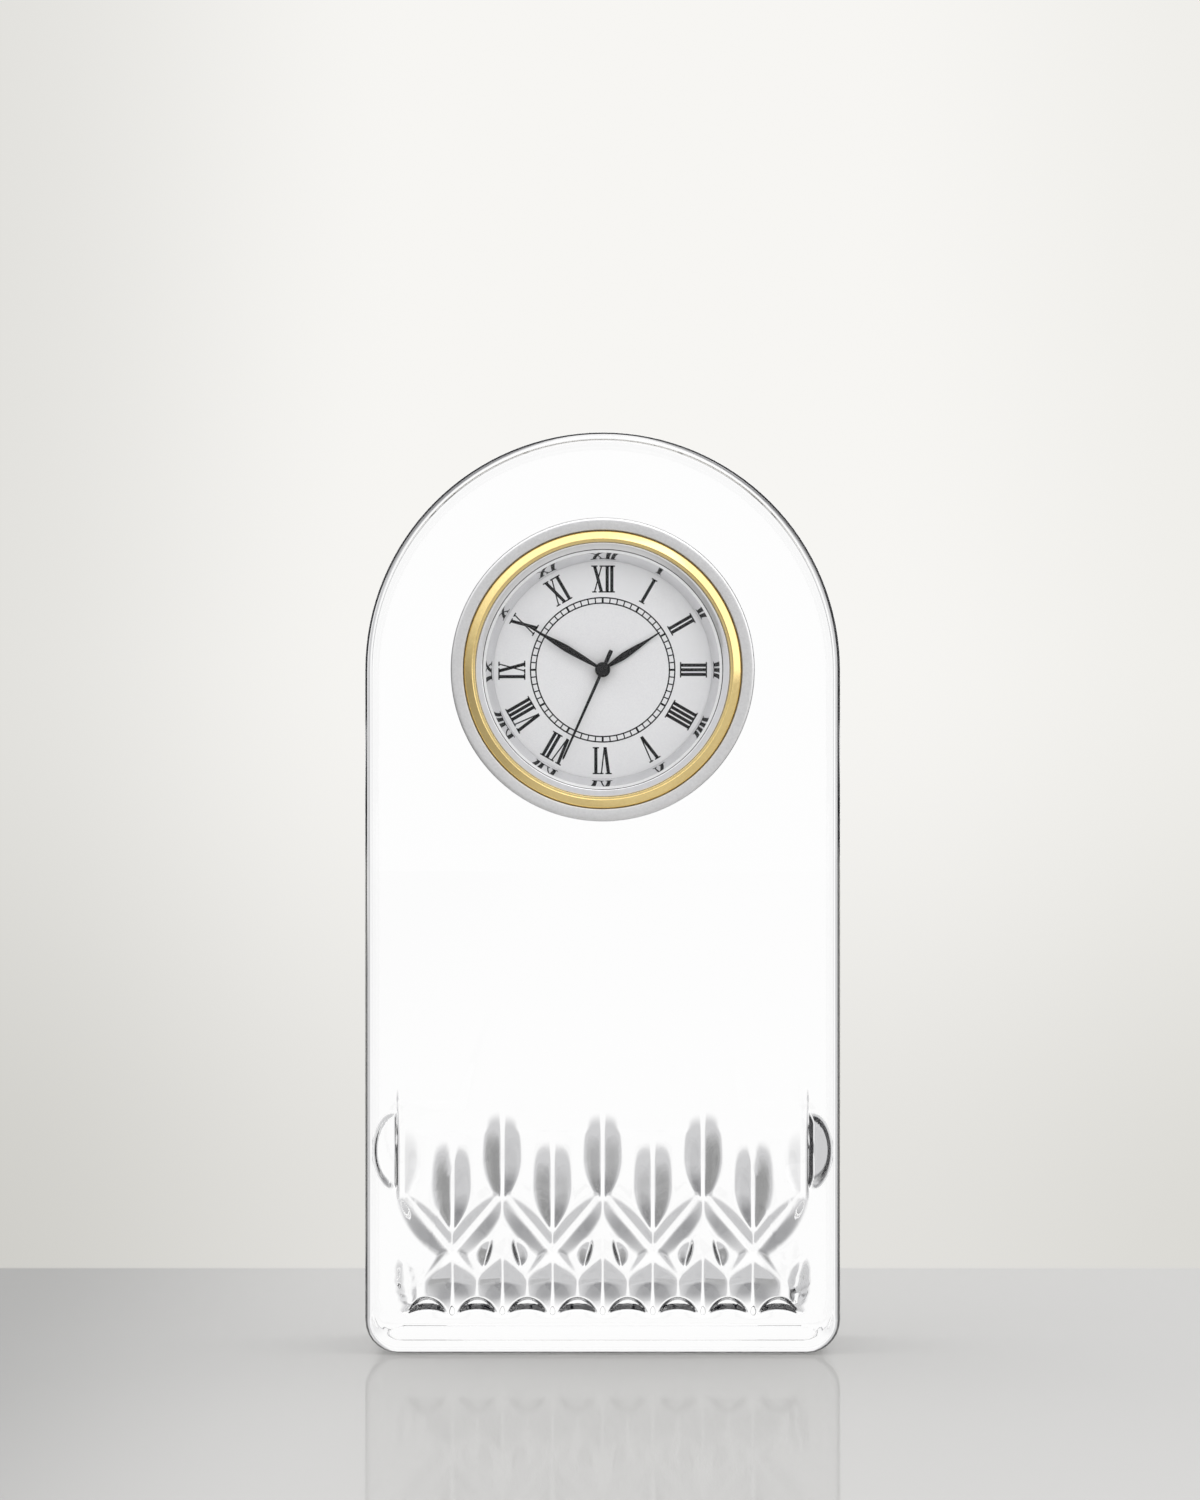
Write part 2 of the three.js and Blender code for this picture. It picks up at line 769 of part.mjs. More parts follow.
function rotorMagnet() {
  const back = magnetLevel + magnetThickness;
  return cylinder(magnetRadius, magnetLevel, back, centreAt, smallSteps).subtract(
    drill(arborRadius + pressFit, magnetLevel, back),
  );
}

// Movement plates

function mainPlate() {
  const disc = cylinder(plateDiameter / 2, plateFront, plateBack, centreAt, roundSteps);
  const posts = pillars.map((at) =>
    cylinder(pillarDiameter / 2, plateBack - rootLap, bridgeFront - seatGap, at),
  );
  const coilPosts = [coilLeftAt, coilRightAt].map((at) =>
    cylinder(coreWidth / 2, plateBack - rootLap, magnetLevel - seatGap, at),
  );
  const stud = cylinder(studRadius, hourLevel, plateFront + rootLap, minuteAt);
  const pivots = [thirdAt, intermediateAt, rotorAt].map((at) =>
    drill(arborRadius + pivotFit, plateFront, plateBack, at),
  );
  const screwHoles = pillars.map((at) =>
    cylinder(screwShank / 2 + pivotFit, bridgeFront - screwDepth - screwRoom, bridgeFront, at),
  );
  const coilHoles = [coilLeftAt, coilRightAt].map((at) =>
    cylinder(screwShank / 2 + pivotFit, plateFront + screwRoom, magnetLevel, at),
  );
  const feet = [-1, 1].map((side) =>
    drill(
      dialFootDiameter / 2 + slideFit,
      plateFront,
      plateBack,
      new THREE.Vector2(0, side * dialFootReach),
    ),
  );
  const holes = [
    drill(centreTubeRadius + runningFit, plateFront, plateBack, centreAt, pipeSteps),
    drill(stemRadius + runningFit, plateFront, plateBack, knobAt),
    ...pivots,
    ...screwHoles,
    ...coilHoles,
    ...feet,
  ];
  return join([disc, ...posts, ...coilPosts, stud]).subtract(join(holes));
}

function trainBridge() {
  const arms = [
    [thirdAt, centreAt],
    [centreAt, intermediateAt],
    [intermediateAt, rotorAt],
    [centreAt, knobAt],
    [pillars[0], thirdAt],
    [pillars[1], knobAt],
    [pillars[2], rotorAt],
  ];
  const plate = join(arms.map(([from, to]) => bar(from, to, bridgeArm, bridgeFront, bridgeBack)));
  const hole = (radius, at) => drill(radius, bridgeFront, bridgeBack, at);
  const holes = [
    hole(secondArbor + pivotFit, centreAt),
    hole(arborRadius + pivotFit, thirdAt),
    hole(arborRadius + pivotFit, intermediateAt),
    hole(arborRadius + pivotFit, rotorAt),
    hole(stemRadius + runningFit, knobAt),
    ...pillars.map((at) => hole(screwShank / 2 + pivotFit, at)),
  ];
  return plate.subtract(join(holes));
}

// A screw whose head rests on a face at the depth given
function screw(face) {
  const seat = face + seatGap;
  const head = cylinder(screwHead / 2, seat, seat + screwHeadHeight, centreAt, pipeSteps);
  return head.add(cylinder(screwShank / 2, face - screwDepth, seat + rootLap));
}

function movementHolder() {
  const outside = barrelInside - seatGap;
  const plateSeat = plateDiameter / 2 + slideFit;
  const wallBack = coverFront - coverSpigot - 2 * seatGap;
  return revolve([
    [plateSeat - holderFlange, dialBack + seatGap],
    [outside, dialBack + seatGap],
    [outside, wallBack],
    [outside - holderWall, wallBack],
    [outside - holderWall, plateBack + holderStep],
    [plateSeat, plateBack + holderStep],
    [plateSeat, plateFront - seatGap],
    [plateSeat - holderFlange, plateFront - seatGap],
  ]);
}

// Stepping motor

function stator() {
  const back = magnetLevel + statorThickness;
  const ringRadius = magnetRadius + airGap + statorRing;
  const elbow = new THREE.Vector2(coilLeft, coilHeight - (bobbinFlange + statorArm) / 2 - seatGap);
  const ring = cylinder(ringRadius, magnetLevel, back, rotorAt, smallSteps);
  const arms = [
    bar(rotorAt, elbow, statorArm, magnetLevel, back),
    bar(elbow, coilLeftAt, statorArm, magnetLevel, back),
    bar(rotorAt, coilRightAt, statorArm, magnetLevel, back),
  ];
  const hole = drill(magnetRadius + airGap, magnetLevel, back, rotorAt, smallSteps);
  const screwHoles = [coilLeftAt, coilRightAt].map((at) =>
    drill(screwShank / 2 + pivotFit, magnetLevel, back, at),
  );
  return join([ring, ...arms]).subtract(join([hole, ...screwHoles]));
}

const coreFront = magnetLevel + statorThickness + seatGap;
const coreBack = coreFront + coreThickness;
const windingLeft = coilLeft + screwHead / 2 + coilMargin;
const windingRight = coilRight - screwHead / 2 - coilMargin;
const coreMiddle = (coreFront + coreBack) / 2;

function coilCore() {
  const core = bar(coilLeftAt, coilRightAt, coreWidth, coreFront, coreBack);
  const holes = [coilLeftAt, coilRightAt].map((at) =>
    drill(screwShank / 2 + pivotFit, coreFront, coreBack, at),
  );
  return core.subtract(join(holes));
}

// A tube of round section lying along X at the coil, between two places across
function coilTube(radius, from, to) {
  const made = new THREE.CylinderGeometry(radius, radius, to - from, pipeSteps);
  made.rotateZ(Math.PI / 2);
  made.translate((from + to) / 2, coreMiddle, coilHeight);
  return solid(made);
}

const bobbinRadius = Math.hypot(coreWidth, coreThickness) / 2 + slideFit + bobbinWall;

function coilBobbin() {
  const slot = box(
    [windingLeft - cutterReach, windingRight + cutterReach],
    coreFront - slideFit,
    coreBack + slideFit,
    [coilHeight - coreWidth / 2 - slideFit, coilHeight + coreWidth / 2 + slideFit],
  );
  return join([
    coilTube(bobbinRadius, windingLeft, windingRight),
    coilTube(bobbinFlange / 2, windingLeft, windingLeft + bobbinFlangeWidth),
    coilTube(bobbinFlange / 2, windingRight - bobbinFlangeWidth, windingRight),
  ]).subtract(slot);
}

function coilWinding() {
  const from = windingLeft + bobbinFlangeWidth + pressFit;
  const to = windingRight - bobbinFlangeWidth - pressFit;
  return coilTube(windingDiameter / 2, from, to).subtract(
    coilTube(bobbinRadius + pressFit, from - cutterReach, to + cutterReach),
  );
}

// Electronics and cell

const boardOuter = plateDiameter / 2 - boardMargin;
const boardInner = boardOuter - boardWidth;
const boardFront = plateBack + seatGap;
const boardBack = boardFront + boardThickness;
const boardMiddle = (boardInner + boardOuter) / 2;
const quartzBearing = boardFrom + quartzOffset;
const quartzAt = polar(centreAt, boardMiddle, quartzBearing);
const chipAt = polar(centreAt, boardMiddle, boardTo - chipOffset);
const minusFront = boardBack + pressFit;
const minusBack = minusFront + contactThickness;
const cellFront = minusBack + seatGap;
const cellBack = cellFront + cellThickness;
const plusFront = cellBack + seatGap;

function circuitBoard() {
  const from = THREE.MathUtils.degToRad(boardFrom);
  const to = THREE.MathUtils.degToRad(boardTo);
  const shape = new THREE.Shape();
  shape.absarc(0, 0, boardOuter, from, to);
  shape.absarc(0, 0, boardInner, to, from, true);
  return slab(shape, boardFront, boardBack, 10);
}

function quartzCan() {
  const radius = quartzDiameter / 2;
  const made = new THREE.CylinderGeometry(radius, radius, quartzLength, pipeSteps);
  made.rotateZ(Math.PI / 2);
  made.rotateY(THREE.MathUtils.degToRad(-quartzBearing - 90));
  made.translate(0, boardBack + seatGap + radius, 0);
  return solid(made);
}

function chip() {
  const half = chipSize / 2;
  const front = boardBack + pressFit;
  return box([-half, half], front, front + chipHeight, [-half, half]);
}

function cell() {
  const radius = cellDiameter / 2;
  return revolve(
    [
      [0, cellFront],
      [radius - 2 * cellRim, cellFront],
      [radius - 2 * cellRim, cellFront + cellRim],
      [radius - cellRim, cellFront + cellRim],
      [radius, cellFront + 2 * cellRim],
      [radius, cellBack],
      [0, cellBack],
    ],
    smallSteps,
  );
}

// The strap over the back of the cell, with a foot down to the plate
function plusContact() {
  const outer = polar(cellAt, cellDiameter / 2 + contactFootGap, contactFootBearing);
  const plusBack = plusFront + contactThickness;
  const strap = bar(outer, cellAt, contactWidth, plusFront, plusBack);
  const foot = cylinder(contactWidth / 2, plateBack + seatGap, plusBack, outer);
  return strap.add(foot);
}

// The strip under the cell, which runs to the circuit board
function minusContact() {
  const corner = new THREE.Vector2(cellAt.x, -boardMiddle);
  const end = polar(centreAt, boardMiddle, boardFrom + contactOffset);
  return join([
    bar(cellAt, corner, contactWidth, minusFront, minusBack),
    bar(corner, end, contactTail, minusFront, minusBack),
  ]);
}

// Back cover and setting knob

function backCover() {
  const spigotOutside = barrelInside - slideFit;
  const plate = revolve([
    [0, coverFront],
    [spigotOutside - coverSpigotWall, coverFront],
    [spigotOutside - coverSpigotWall, coverFront - coverSpigot],
    [spigotOutside, coverFront - coverSpigot],
    [spigotOutside, coverFront],
    [barrelRadius, coverFront],
    [barrelRadius, coverBack - coverBevel],
    [barrelRadius - coverBevel, coverBack],
    [0, coverBack],
  ]);
  const knobHole = drill(
    knobDiameter / 2 + knobGap,
    coverFront - coverSpigot,
    coverBack,
    knobAt,
    smallSteps,
  );
  const notch = box(
    [-coverNotch.width / 2, coverNotch.width / 2],
    coverFront - cutterReach,
    coverFront + coverNotch.height,
    [barrelRadius - coverNotch.depth, barrelRadius + cutterReach],
  );
  return plate.subtract(knobHole).subtract(notch);
}

const knobFront = coverFront - knobGap;
const knobBack = knobFront + knobThickness;

function settingKnob() {
  const points = [];
  for (let step = 0; step < knobFlutes * 4; step += 1) {
    const dip = step % 4 < 2 ? 0 : knobFluteDepth;
    points.push(polar(centreAt, knobDiameter / 2 - dip, (90 * step) / knobFlutes));
  }
  const socket = cylinder(stemRadius + pressFit, knobFront - cutterReach, knobBack - knobEnd);
  return slab(new THREE.Shape(points), knobFront, knobBack).subtract(socket);
}

function settingStem() {
  const leavesFront = minuteLevel - leafReach;
  const leavesBack = plateFront - seatGap;
  return join([
    cylinder(stemRadius, leavesBack - rootLap, knobBack - knobEnd - pressFit),
    pinion(motionLeaves, cannonModule, leavesFront, leavesBack, motionBearing + 180),
  ]);
}

// The assembly

const clock = new THREE.Group();
clock.add(node("crystal_body", crystalBody(), 0xf4f7f8, 0.03, 0));

const insert = new THREE.Group();
insert.position.set(0, -crystalDepth / 2, dialHeight);
clock.add(insert);

insert.add(
  node("case_body", caseBody(), 0xc9c9c8, 0.3, 1),
  node("gold_trim_ring", trimRing(), 0xe3c476, 0.18, 1),
  node("lens_ring", lensRing(), 0xcfcfd2, 0.2, 1),
  node("lens", lens(), 0xf2f6f8, 0.02, 0),
  node("reflector_ring", reflectorRing(), 0xd9dadc, 0.08, 1),
  node("dial", dial(), 0xdcdcde, 0.45, 0.2),
  node("grip_band", gripBand(), 0x2c2c2e, 0.8, 0),
  node("movement_holder", movementHolder(), 0xe8e6df, 0.6, 0),
  node("main_plate", mainPlate(), 0xb9b6ad, 0.45, 0.6),
  node("train_bridge", trainBridge(), 0xc4c6c9, 0.35, 1),
  node("stator", stator(), 0x9b9ea3, 0.4, 1),
  node("coil_core", coilCore(), 0x8b8e94, 0.4, 1),
  node("coil_bobbin", coilBobbin(), 0xe9e4d2, 0.5, 0),
  node("coil_winding", coilWinding(), 0xb4602d, 0.35, 0.8),
  node("circuit_board", circuitBoard(), 0x2e6b45, 0.5, 0),
  node("quartz_can", quartzCan(), 0xc0c2c6, 0.25, 1, quartzAt),
  node("control_chip", chip(), 0x1c1d20, 0.5, 0, chipAt),
  node("battery_cell", cell(), 0xcdd0d4, 0.25, 1, cellAt),
  node("battery_contact_plus", plusContact(), 0xd2b56a, 0.3, 1),
  node("battery_contact_minus", minusContact(), 0xd2b56a, 0.3, 1),
  node("rotor_magnet", rotorMagnet(), 0x57595e, 0.45, 0.8, rotorAt),
  node("rotor_pinion", rotorPinion(), 0xd8d9db, 0.3, 1, rotorAt),
  node("intermediate_wheel", intermediateWheel(), 0xe7e3d4, 0.5, 0, intermediateAt),
  node("third_wheel", thirdWheel(), 0xd9b95f, 0.3, 1, thirdAt),
  node("centre_wheel", centreWheel(), 0xd9b95f, 0.3, 1),
  node("second_wheel", secondWheel(), 0xd9b95f, 0.3, 1),
  node("cannon_pinion", cannonPinion(), 0xc9cacc, 0.3, 1),
  node("minute_wheel", minuteWheel(), 0xd9b95f, 0.3, 1, minuteAt),
  node("hour_wheel", hourWheel(), 0xd9b95f, 0.3, 1),
  node("setting_stem", settingStem(), 0xc9cacc, 0.3, 1, knobAt),
  node("setting_knob", settingKnob(), 0x2b2b2d, 0.5, 0, knobAt),
  node("back_cover", backCover(), 0xd4d2cb, 0.5, 0),
);

pillars.forEach((at, index) => {
  insert.add(node(`bridge_screw_${index + 1}`, screw(bridgeBack), 0x8f949c, 0.3, 1, at));
});
[coilLeftAt, coilRightAt].forEach((at, index) => {
  insert.add(node(`coil_screw_${index + 1}`, screw(coreBack), 0x8f949c, 0.3, 1, at));
});

// Positive turns about the depth axis are clockwise from the front
const hands = [
  node("hour_hand", taperedHand(hourHand, hourPipeRadius + pressFit, hourHandFront), 0x111111, 0.4, 0),
  node("minute_hand", taperedHand(minuteHand, cannonRadius + pressFit, minuteHandFront), 0x111111, 0.4, 0),
  node("second_hand", needleHand(secondHandFront), 0x111111, 0.4, 0),
];
[hourAngle, minuteAngle, secondAngle].forEach((angle, index) => {
  hands[index].rotation.y = THREE.MathUtils.degToRad(angle);
  insert.add(hands[index]);
});

export default clock;
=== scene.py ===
import bmesh
import bpy
import numpy as np
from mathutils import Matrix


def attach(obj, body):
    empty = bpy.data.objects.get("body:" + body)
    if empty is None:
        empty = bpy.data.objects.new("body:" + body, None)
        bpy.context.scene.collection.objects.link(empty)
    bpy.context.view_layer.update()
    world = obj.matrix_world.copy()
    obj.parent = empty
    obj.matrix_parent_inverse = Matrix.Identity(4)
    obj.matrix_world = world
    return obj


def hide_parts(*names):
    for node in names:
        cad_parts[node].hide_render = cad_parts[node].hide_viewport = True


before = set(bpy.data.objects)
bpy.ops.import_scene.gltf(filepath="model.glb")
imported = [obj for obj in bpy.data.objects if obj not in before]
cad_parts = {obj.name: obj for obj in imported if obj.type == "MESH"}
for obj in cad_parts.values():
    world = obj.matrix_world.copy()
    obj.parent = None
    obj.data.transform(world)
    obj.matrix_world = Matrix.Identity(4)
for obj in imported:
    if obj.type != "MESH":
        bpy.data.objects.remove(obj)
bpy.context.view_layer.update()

mm = 0.001
fullTurn = 2 * np.pi
meeting = {"points": 1e-7, "edges": 1e-8}  # metres: points so close are one, and edges so short go
print("frame loaded,", len(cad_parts), "nodes")


# A new object for a mesh, lamp or camera, in the scene
def sceneObject(name, data):
    made = bpy.data.objects.new(name, data)
    bpy.context.scene.collection.objects.link(made)
    return made


# Rows of points become quads. A closed row or column joins its last point to its first, and points
# that meet, as at a pole, are merged. The faces are turned outwards by the sign of the volume.
def gridMesh(name, points, closeRows=True, closeColumns=True, poles=False):
    rows, columns = points.shape[:2]
    index = np.arange(rows * columns).reshape(rows, columns)
    below = np.roll(index, -1, 0) if closeRows else index[1:]
    index = index if closeRows else index[:-1]
    if closeColumns:
        faces = np.stack([index, np.roll(index, -1, 1), np.roll(below, -1, 1), below], -1)
    else:
        faces = np.stack([index[:, :-1], index[:, 1:], below[:, 1:], below[:, :-1]], -1)
    faces = faces.reshape(-1, 4)
    places = points.reshape(-1, 3) * mm
    a, b, c, d = (places[faces[:, k]] for k in range(4))
    volume = np.einsum("ij,ij->", a, np.cross(b, c)) + np.einsum("ij,ij->", a, np.cross(c, d))
    if volume < 0:
        faces = faces[:, ::-1]
    mesh = bpy.data.meshes.new(name)
    mesh.vertices.add(len(places))
    mesh.vertices.foreach_set("co", places.astype(np.float32).ravel())
    mesh.loops.add(faces.size)
    mesh.loops.foreach_set("vertex_index", faces.astype(np.int32).ravel())
    mesh.polygons.add(len(faces))
    mesh.polygons.foreach_set("loop_start", np.arange(0, faces.size, 4, dtype=np.int32))
    mesh.update(calc_edges=True)
    if poles:
        work = bmesh.new()
        work.from_mesh(mesh)
        bmesh.ops.remove_doubles(work, verts=work.verts, dist=meeting["points"])
        bmesh.ops.dissolve_degenerate(work, edges=work.edges, dist=meeting["edges"])
        work.to_mesh(mesh)
        work.free()
    return mesh


# Several meshes become one piece, which rides on its body and stands for the nodes it replaces
def makePiece(name, meshes, body, finish, replaces=(), sharp=35):
    mesh = meshes[0]
    if len(meshes) > 1:
        work = bmesh.new()
        for part in meshes:
            work.from_mesh(part)
        mesh = bpy.data.meshes.new(name)
        work.to_mesh(mesh)
        work.free()
    mesh.shade_smooth()
    mesh.set_sharp_from_angle(angle=np.radians(sharp))
    piece = sceneObject(name, mesh)
    piece.data.materials.append(finish)
    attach(piece, body)
    if replaces:
        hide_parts(*replaces)


# Each corner of a profile is swapped for a curve that leaves one side at the corner's radius and
# meets the next at the same distance: a quadratic curve with the corner as its middle point. On a
# short side the curve takes just under half of it.
def softened(corners, radius, steps=5):
    corners = np.array(corners, float)
    before, after = np.roll(corners, 1, 0) - corners, np.roll(corners, -1, 0) - corners
    lengths = np.minimum(np.linalg.norm(before, axis=1), np.linalg.norm(after, axis=1))
    underHalf = 0.49
    reach = np.minimum(np.broadcast_to(radius, len(corners)), underHalf * lengths)[:, None]
    start = corners + before / np.linalg.norm(before, axis=1)[:, None] * reach
    end = corners + after / np.linalg.norm(after, axis=1)[:, None] * reach
    t = np.linspace(0, 1, steps)[:, None, None]
    curve = (1 - t) ** 2 * start + 2 * t * (1 - t) * corners + t**2 * end
    return curve.transpose(1, 0, 2).reshape(-1, 2)


# A closed profile of radius and depth is carried once round an axis along Y: a point is
# (centre x + radius sin u, depth, centre z + radius cos u)
def turned(name, profile, centre, steps=160, poles=False):
    profile = np.array(profile, float)
    u = np.linspace(0, fullTurn, steps, endpoint=False)
    x = centre[0] + profile[:, :1] * np.sin(u)
    z = centre[1] + profile[:, :1] * np.cos(u)
    y = np.repeat(profile[:, 1:], steps, 1)
    return gridMesh(name, np.stack([x, y, z], -1), closeRows=not poles, poles=poles)


# Finishes. An input takes a number, a colour or vector of three parts, or another node's output.
def feed(tree, socket, value):
    if isinstance(value, tuple):
        socket.default_value = (*value, 1) if socket.type == "RGBA" else value
    elif isinstance(value, (int, float)):
        socket.default_value = value
    else:
        tree.links.new(value, socket)


def node(tree, kind, inputs=None, **settings):
    made = tree.nodes.new("ShaderNode" + kind)
    for key, value in settings.items():
        setattr(made, key, value)
    for key, value in (inputs or {}).items():
        feed(tree, made.inputs[key], value)
    return made


def nodeTree(name):
    material = bpy.data.materials.new(name)
    material.use_nodes = True
    material.node_tree.nodes.clear()
    return material, material.node_tree


# A value is carried from one range to another and held at its ends, straight or along a soft curve
def ranged(tree, value, source, target, kind="LINEAR"):
    limits = dict(zip(("From Min", "From Max", "To Min", "To Max"), (*source, *target)))
    return node(tree, "MapRange", {"Value": value, **limits}, interpolation_type=kind).outputs["Result"]


def smoothStep(tree, value, source, target=(0, 1)):
    return ranged(tree, value, source, target, "SMOOTHSTEP")


def mixShader(tree, share, first, second):
    return node(tree, "MixShader", {0: share, 1: first, 2: second}).outputs[0]


def rayIs(tree, kind):
    return node(tree, "LightPath").outputs[f"Is {kind} Ray"]


# Noise on object coordinates, stretched along one axis for grain
def grainNoise(tree, scale, stretch=(1, 1, 1), detail=4):
    place = node(tree, "TexCoord").outputs["Object"]
    turn = node(tree, "Mapping", {"Vector": place, "Scale": stretch}).outputs["Vector"]
    return node(tree, "TexNoise", {"Vector": turn, "Scale": scale, "Detail": detail}).outputs["Fac"]


def reliefOf(tree, height, strength, depth):
    inputs = {"Height": height, "Strength": strength, "Distance": depth * mm}
    return node(tree, "Bump", inputs).outputs["Normal"]


# A finish with two close tones, a roughness that wanders between two values and a fine relief
def finishOf(name, tones, rough, metallic, scale, stretch=(1, 1, 1), relief=0.02, coat=0.0, gloss=0.5):
    material, tree = nodeTree(name)
    noise, usual = grainNoise(tree, scale, stretch), (0.3, 0.7)  # most of the noise lies in this range
    ramp = node(tree, "ValToRGB", {"Fac": noise})
    for stop, place, tone in zip(ramp.color_ramp.elements, usual, tones):
        stop.position, stop.color = place, (*tone, 1)
    shader = node(tree, "BsdfPrincipled", {
        "Base Color": ramp.outputs["Color"], "Roughness": ranged(tree, noise, usual, rough),
        "Metallic": metallic, "Coat Weight": coat, "Specular IOR Level": gloss,
        "Normal": reliefOf(tree, noise, relief, depth=0.1),
    })
    node(tree, "OutputMaterial", {"Surface": shader.outputs["BSDF"]})
    return material


# Clear glass whose surface has a faint wave; rays from lamps pass it, so that they reach what is behind
def glassOf(name, tint, index, wave, scale):
    material, tree = nodeTree(name)
    relief = reliefOf(tree, grainNoise(tree, scale, detail=1), wave, depth=0.2)
    glass = node(tree, "BsdfGlass", {"Color": tint, "Roughness": 0.0, "IOR": index, "Normal": relief})
    shadowTone = (0.93, 0.93, 0.93)
    passed = node(tree, "BsdfTransparent", {"Color": shadowTone})
    surface = mixShader(tree, rayIs(tree, "Shadow"), glass.outputs["BSDF"], passed.outputs["BSDF"])
    node(tree, "OutputMaterial", {"Surface": surface})
    return material


leadCrystal = glassOf("leadCrystal", (1, 1, 1), 1.53, 0.02, 45)
watchCrystal = glassOf("watchCrystal", (1, 1, 1), 1.2, 0.01, 60)
satinSilver = finishOf("satinSilver", [(0.74, 0.74, 0.745), (0.8, 0.8, 0.805)], (0.3, 0.38), 1.0, 2600)
paleGold = finishOf("paleGold", [(0.86, 0.66, 0.29), (0.92, 0.72, 0.33)], (0.13, 0.2), 1.0, 1800)
brightSilver = finishOf("brightSilver", [(0.83, 0.83, 0.84), (0.88, 0.88, 0.89)], (0.07, 0.11), 1.0, 700)
mirrorSilver = finishOf("mirrorSilver", [(0.77, 0.77, 0.78), (0.81, 0.81, 0.82)], (0.03, 0.05), 1.0, 500,
                        relief=0.005)
dialSilver = finishOf("dialSilver", [(0.79, 0.79, 0.805), (0.84, 0.84, 0.85)], (0.42, 0.5), 0.1, 5000,
                      relief=0.03)
inkBlack = finishOf("inkBlack", [(0.012, 0.012, 0.013), (0.02, 0.02, 0.022)], (0.4, 0.5), 0.0, 3000,
                    gloss=0.1)
handBlack = finishOf("handBlack", [(0.008, 0.008, 0.009), (0.014, 0.014, 0.015)], (0.22, 0.3), 0.0, 2000,
                     gloss=0.15)
bandRubber = finishOf("bandRubber", [(0.016, 0.016, 0.017), (0.03, 0.03, 0.032)], (0.6, 0.75), 0.0, 1500,
                      relief=0.15)
ivoryPlastic = finishOf("ivoryPlastic", [(0.72, 0.69, 0.6), (0.77, 0.74, 0.66)], (0.42, 0.55), 0.0, 1200,
                        relief=0.08)
nickelPlate = finishOf("nickelPlate", [(0.62, 0.63, 0.63), (0.72, 0.72, 0.73)], (0.2, 0.34), 1.0, 1500,
                       (1, 1, 6))
softIron = finishOf("softIron", [(0.34, 0.35, 0.37), (0.44, 0.45, 0.47)], (0.35, 0.5), 1.0, 1400)
copperWire = finishOf("copperWire", [(0.5, 0.2, 0.07), (0.68, 0.3, 0.11)], (0.25, 0.4), 1.0, 4000, (6, 1, 1),
                      relief=0.5)
boardGreen = finishOf("boardGreen", [(0.02, 0.14, 0.05), (0.035, 0.19, 0.08)], (0.3, 0.42), 0.0, 1600,
                      coat=0.3)
blackPlastic = finishOf("blackPlastic", [(0.015, 0.015, 0.016), (0.026, 0.026, 0.028)], (0.35, 0.5), 0.0,
                        1400, relief=0.06)
contactBrass = finishOf("contactBrass", [(0.62, 0.44, 0.15), (0.72, 0.52, 0.2)], (0.25, 0.4), 1.0, 1500,
                        (8, 1, 1))
magnetGrey = finishOf("magnetGrey", [(0.08, 0.085, 0.09), (0.13, 0.135, 0.145)], (0.4, 0.55), 0.6, 2500)
wheelBrass = finishOf("wheelBrass", [(0.66, 0.47, 0.13), (0.76, 0.56, 0.18)], (0.22, 0.34), 1.0, 1800)

# The finish of each solid of the movement that stays as it is
nodeFinishes = {
    ivoryPlastic: ["movement_holder", "coil_bobbin"],
    nickelPlate: ["bridge_screw_1", "bridge_screw_2", "bridge_screw_3", "coil_screw_1", "coil_screw_2",
                  "quartz_can", "battery_cell", "setting_stem", "main_plate", "train_bridge"],
    softIron: ["stator", "coil_core"],
    copperWire: ["coil_winding"],
    boardGreen: ["circuit_board"],
    blackPlastic: ["control_chip"],
    contactBrass: ["battery_contact_plus", "battery_contact_minus"],
    magnetGrey: ["rotor_magnet"],
    wheelBrass: ["centre_wheel", "third_wheel", "second_wheel", "intermediate_wheel", "minute_wheel",
                 "hour_wheel", "cannon_pinion", "rotor_pinion"],
}
for finish, names in nodeFinishes.items():
    for name in names:
        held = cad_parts[name]
        held.data.materials.clear()
        held.data.materials.append(finish)
print("finishes made")


# The crystal's blank in mm. Columns run round the outline. Front rows are given as shares of the way
# from the bore to the edge, with how many rows each stretch has.
crystal = {
    "width": 80, "height": 155, "depth": 36, "corner": 5.6, "bore": 23.2,
    "edge": 1.15, "edgeDeep": 2.4, "backEdge": 0.5, "backEdgeDeep": 0.8, "footEdgeShare": 0.02,
    "foot": 340, "cornerColumns": 7, "lowSide": 76, "highSide": 10, "arch": 64, "ornamentTop": 40,
    "frontRows": [(0, 0.56, 6), (0.56, 0.9, 76), (0.9, 0.948, 36), (0.948, 1, 13)],
    "edgeRows": 16, "backEdgeRows": 8, "besideEdge": 0.1, "backShares": (0.998, 0.9, 0.7, 0.5, 0.25, 0),
    "boreRows": 4,
}

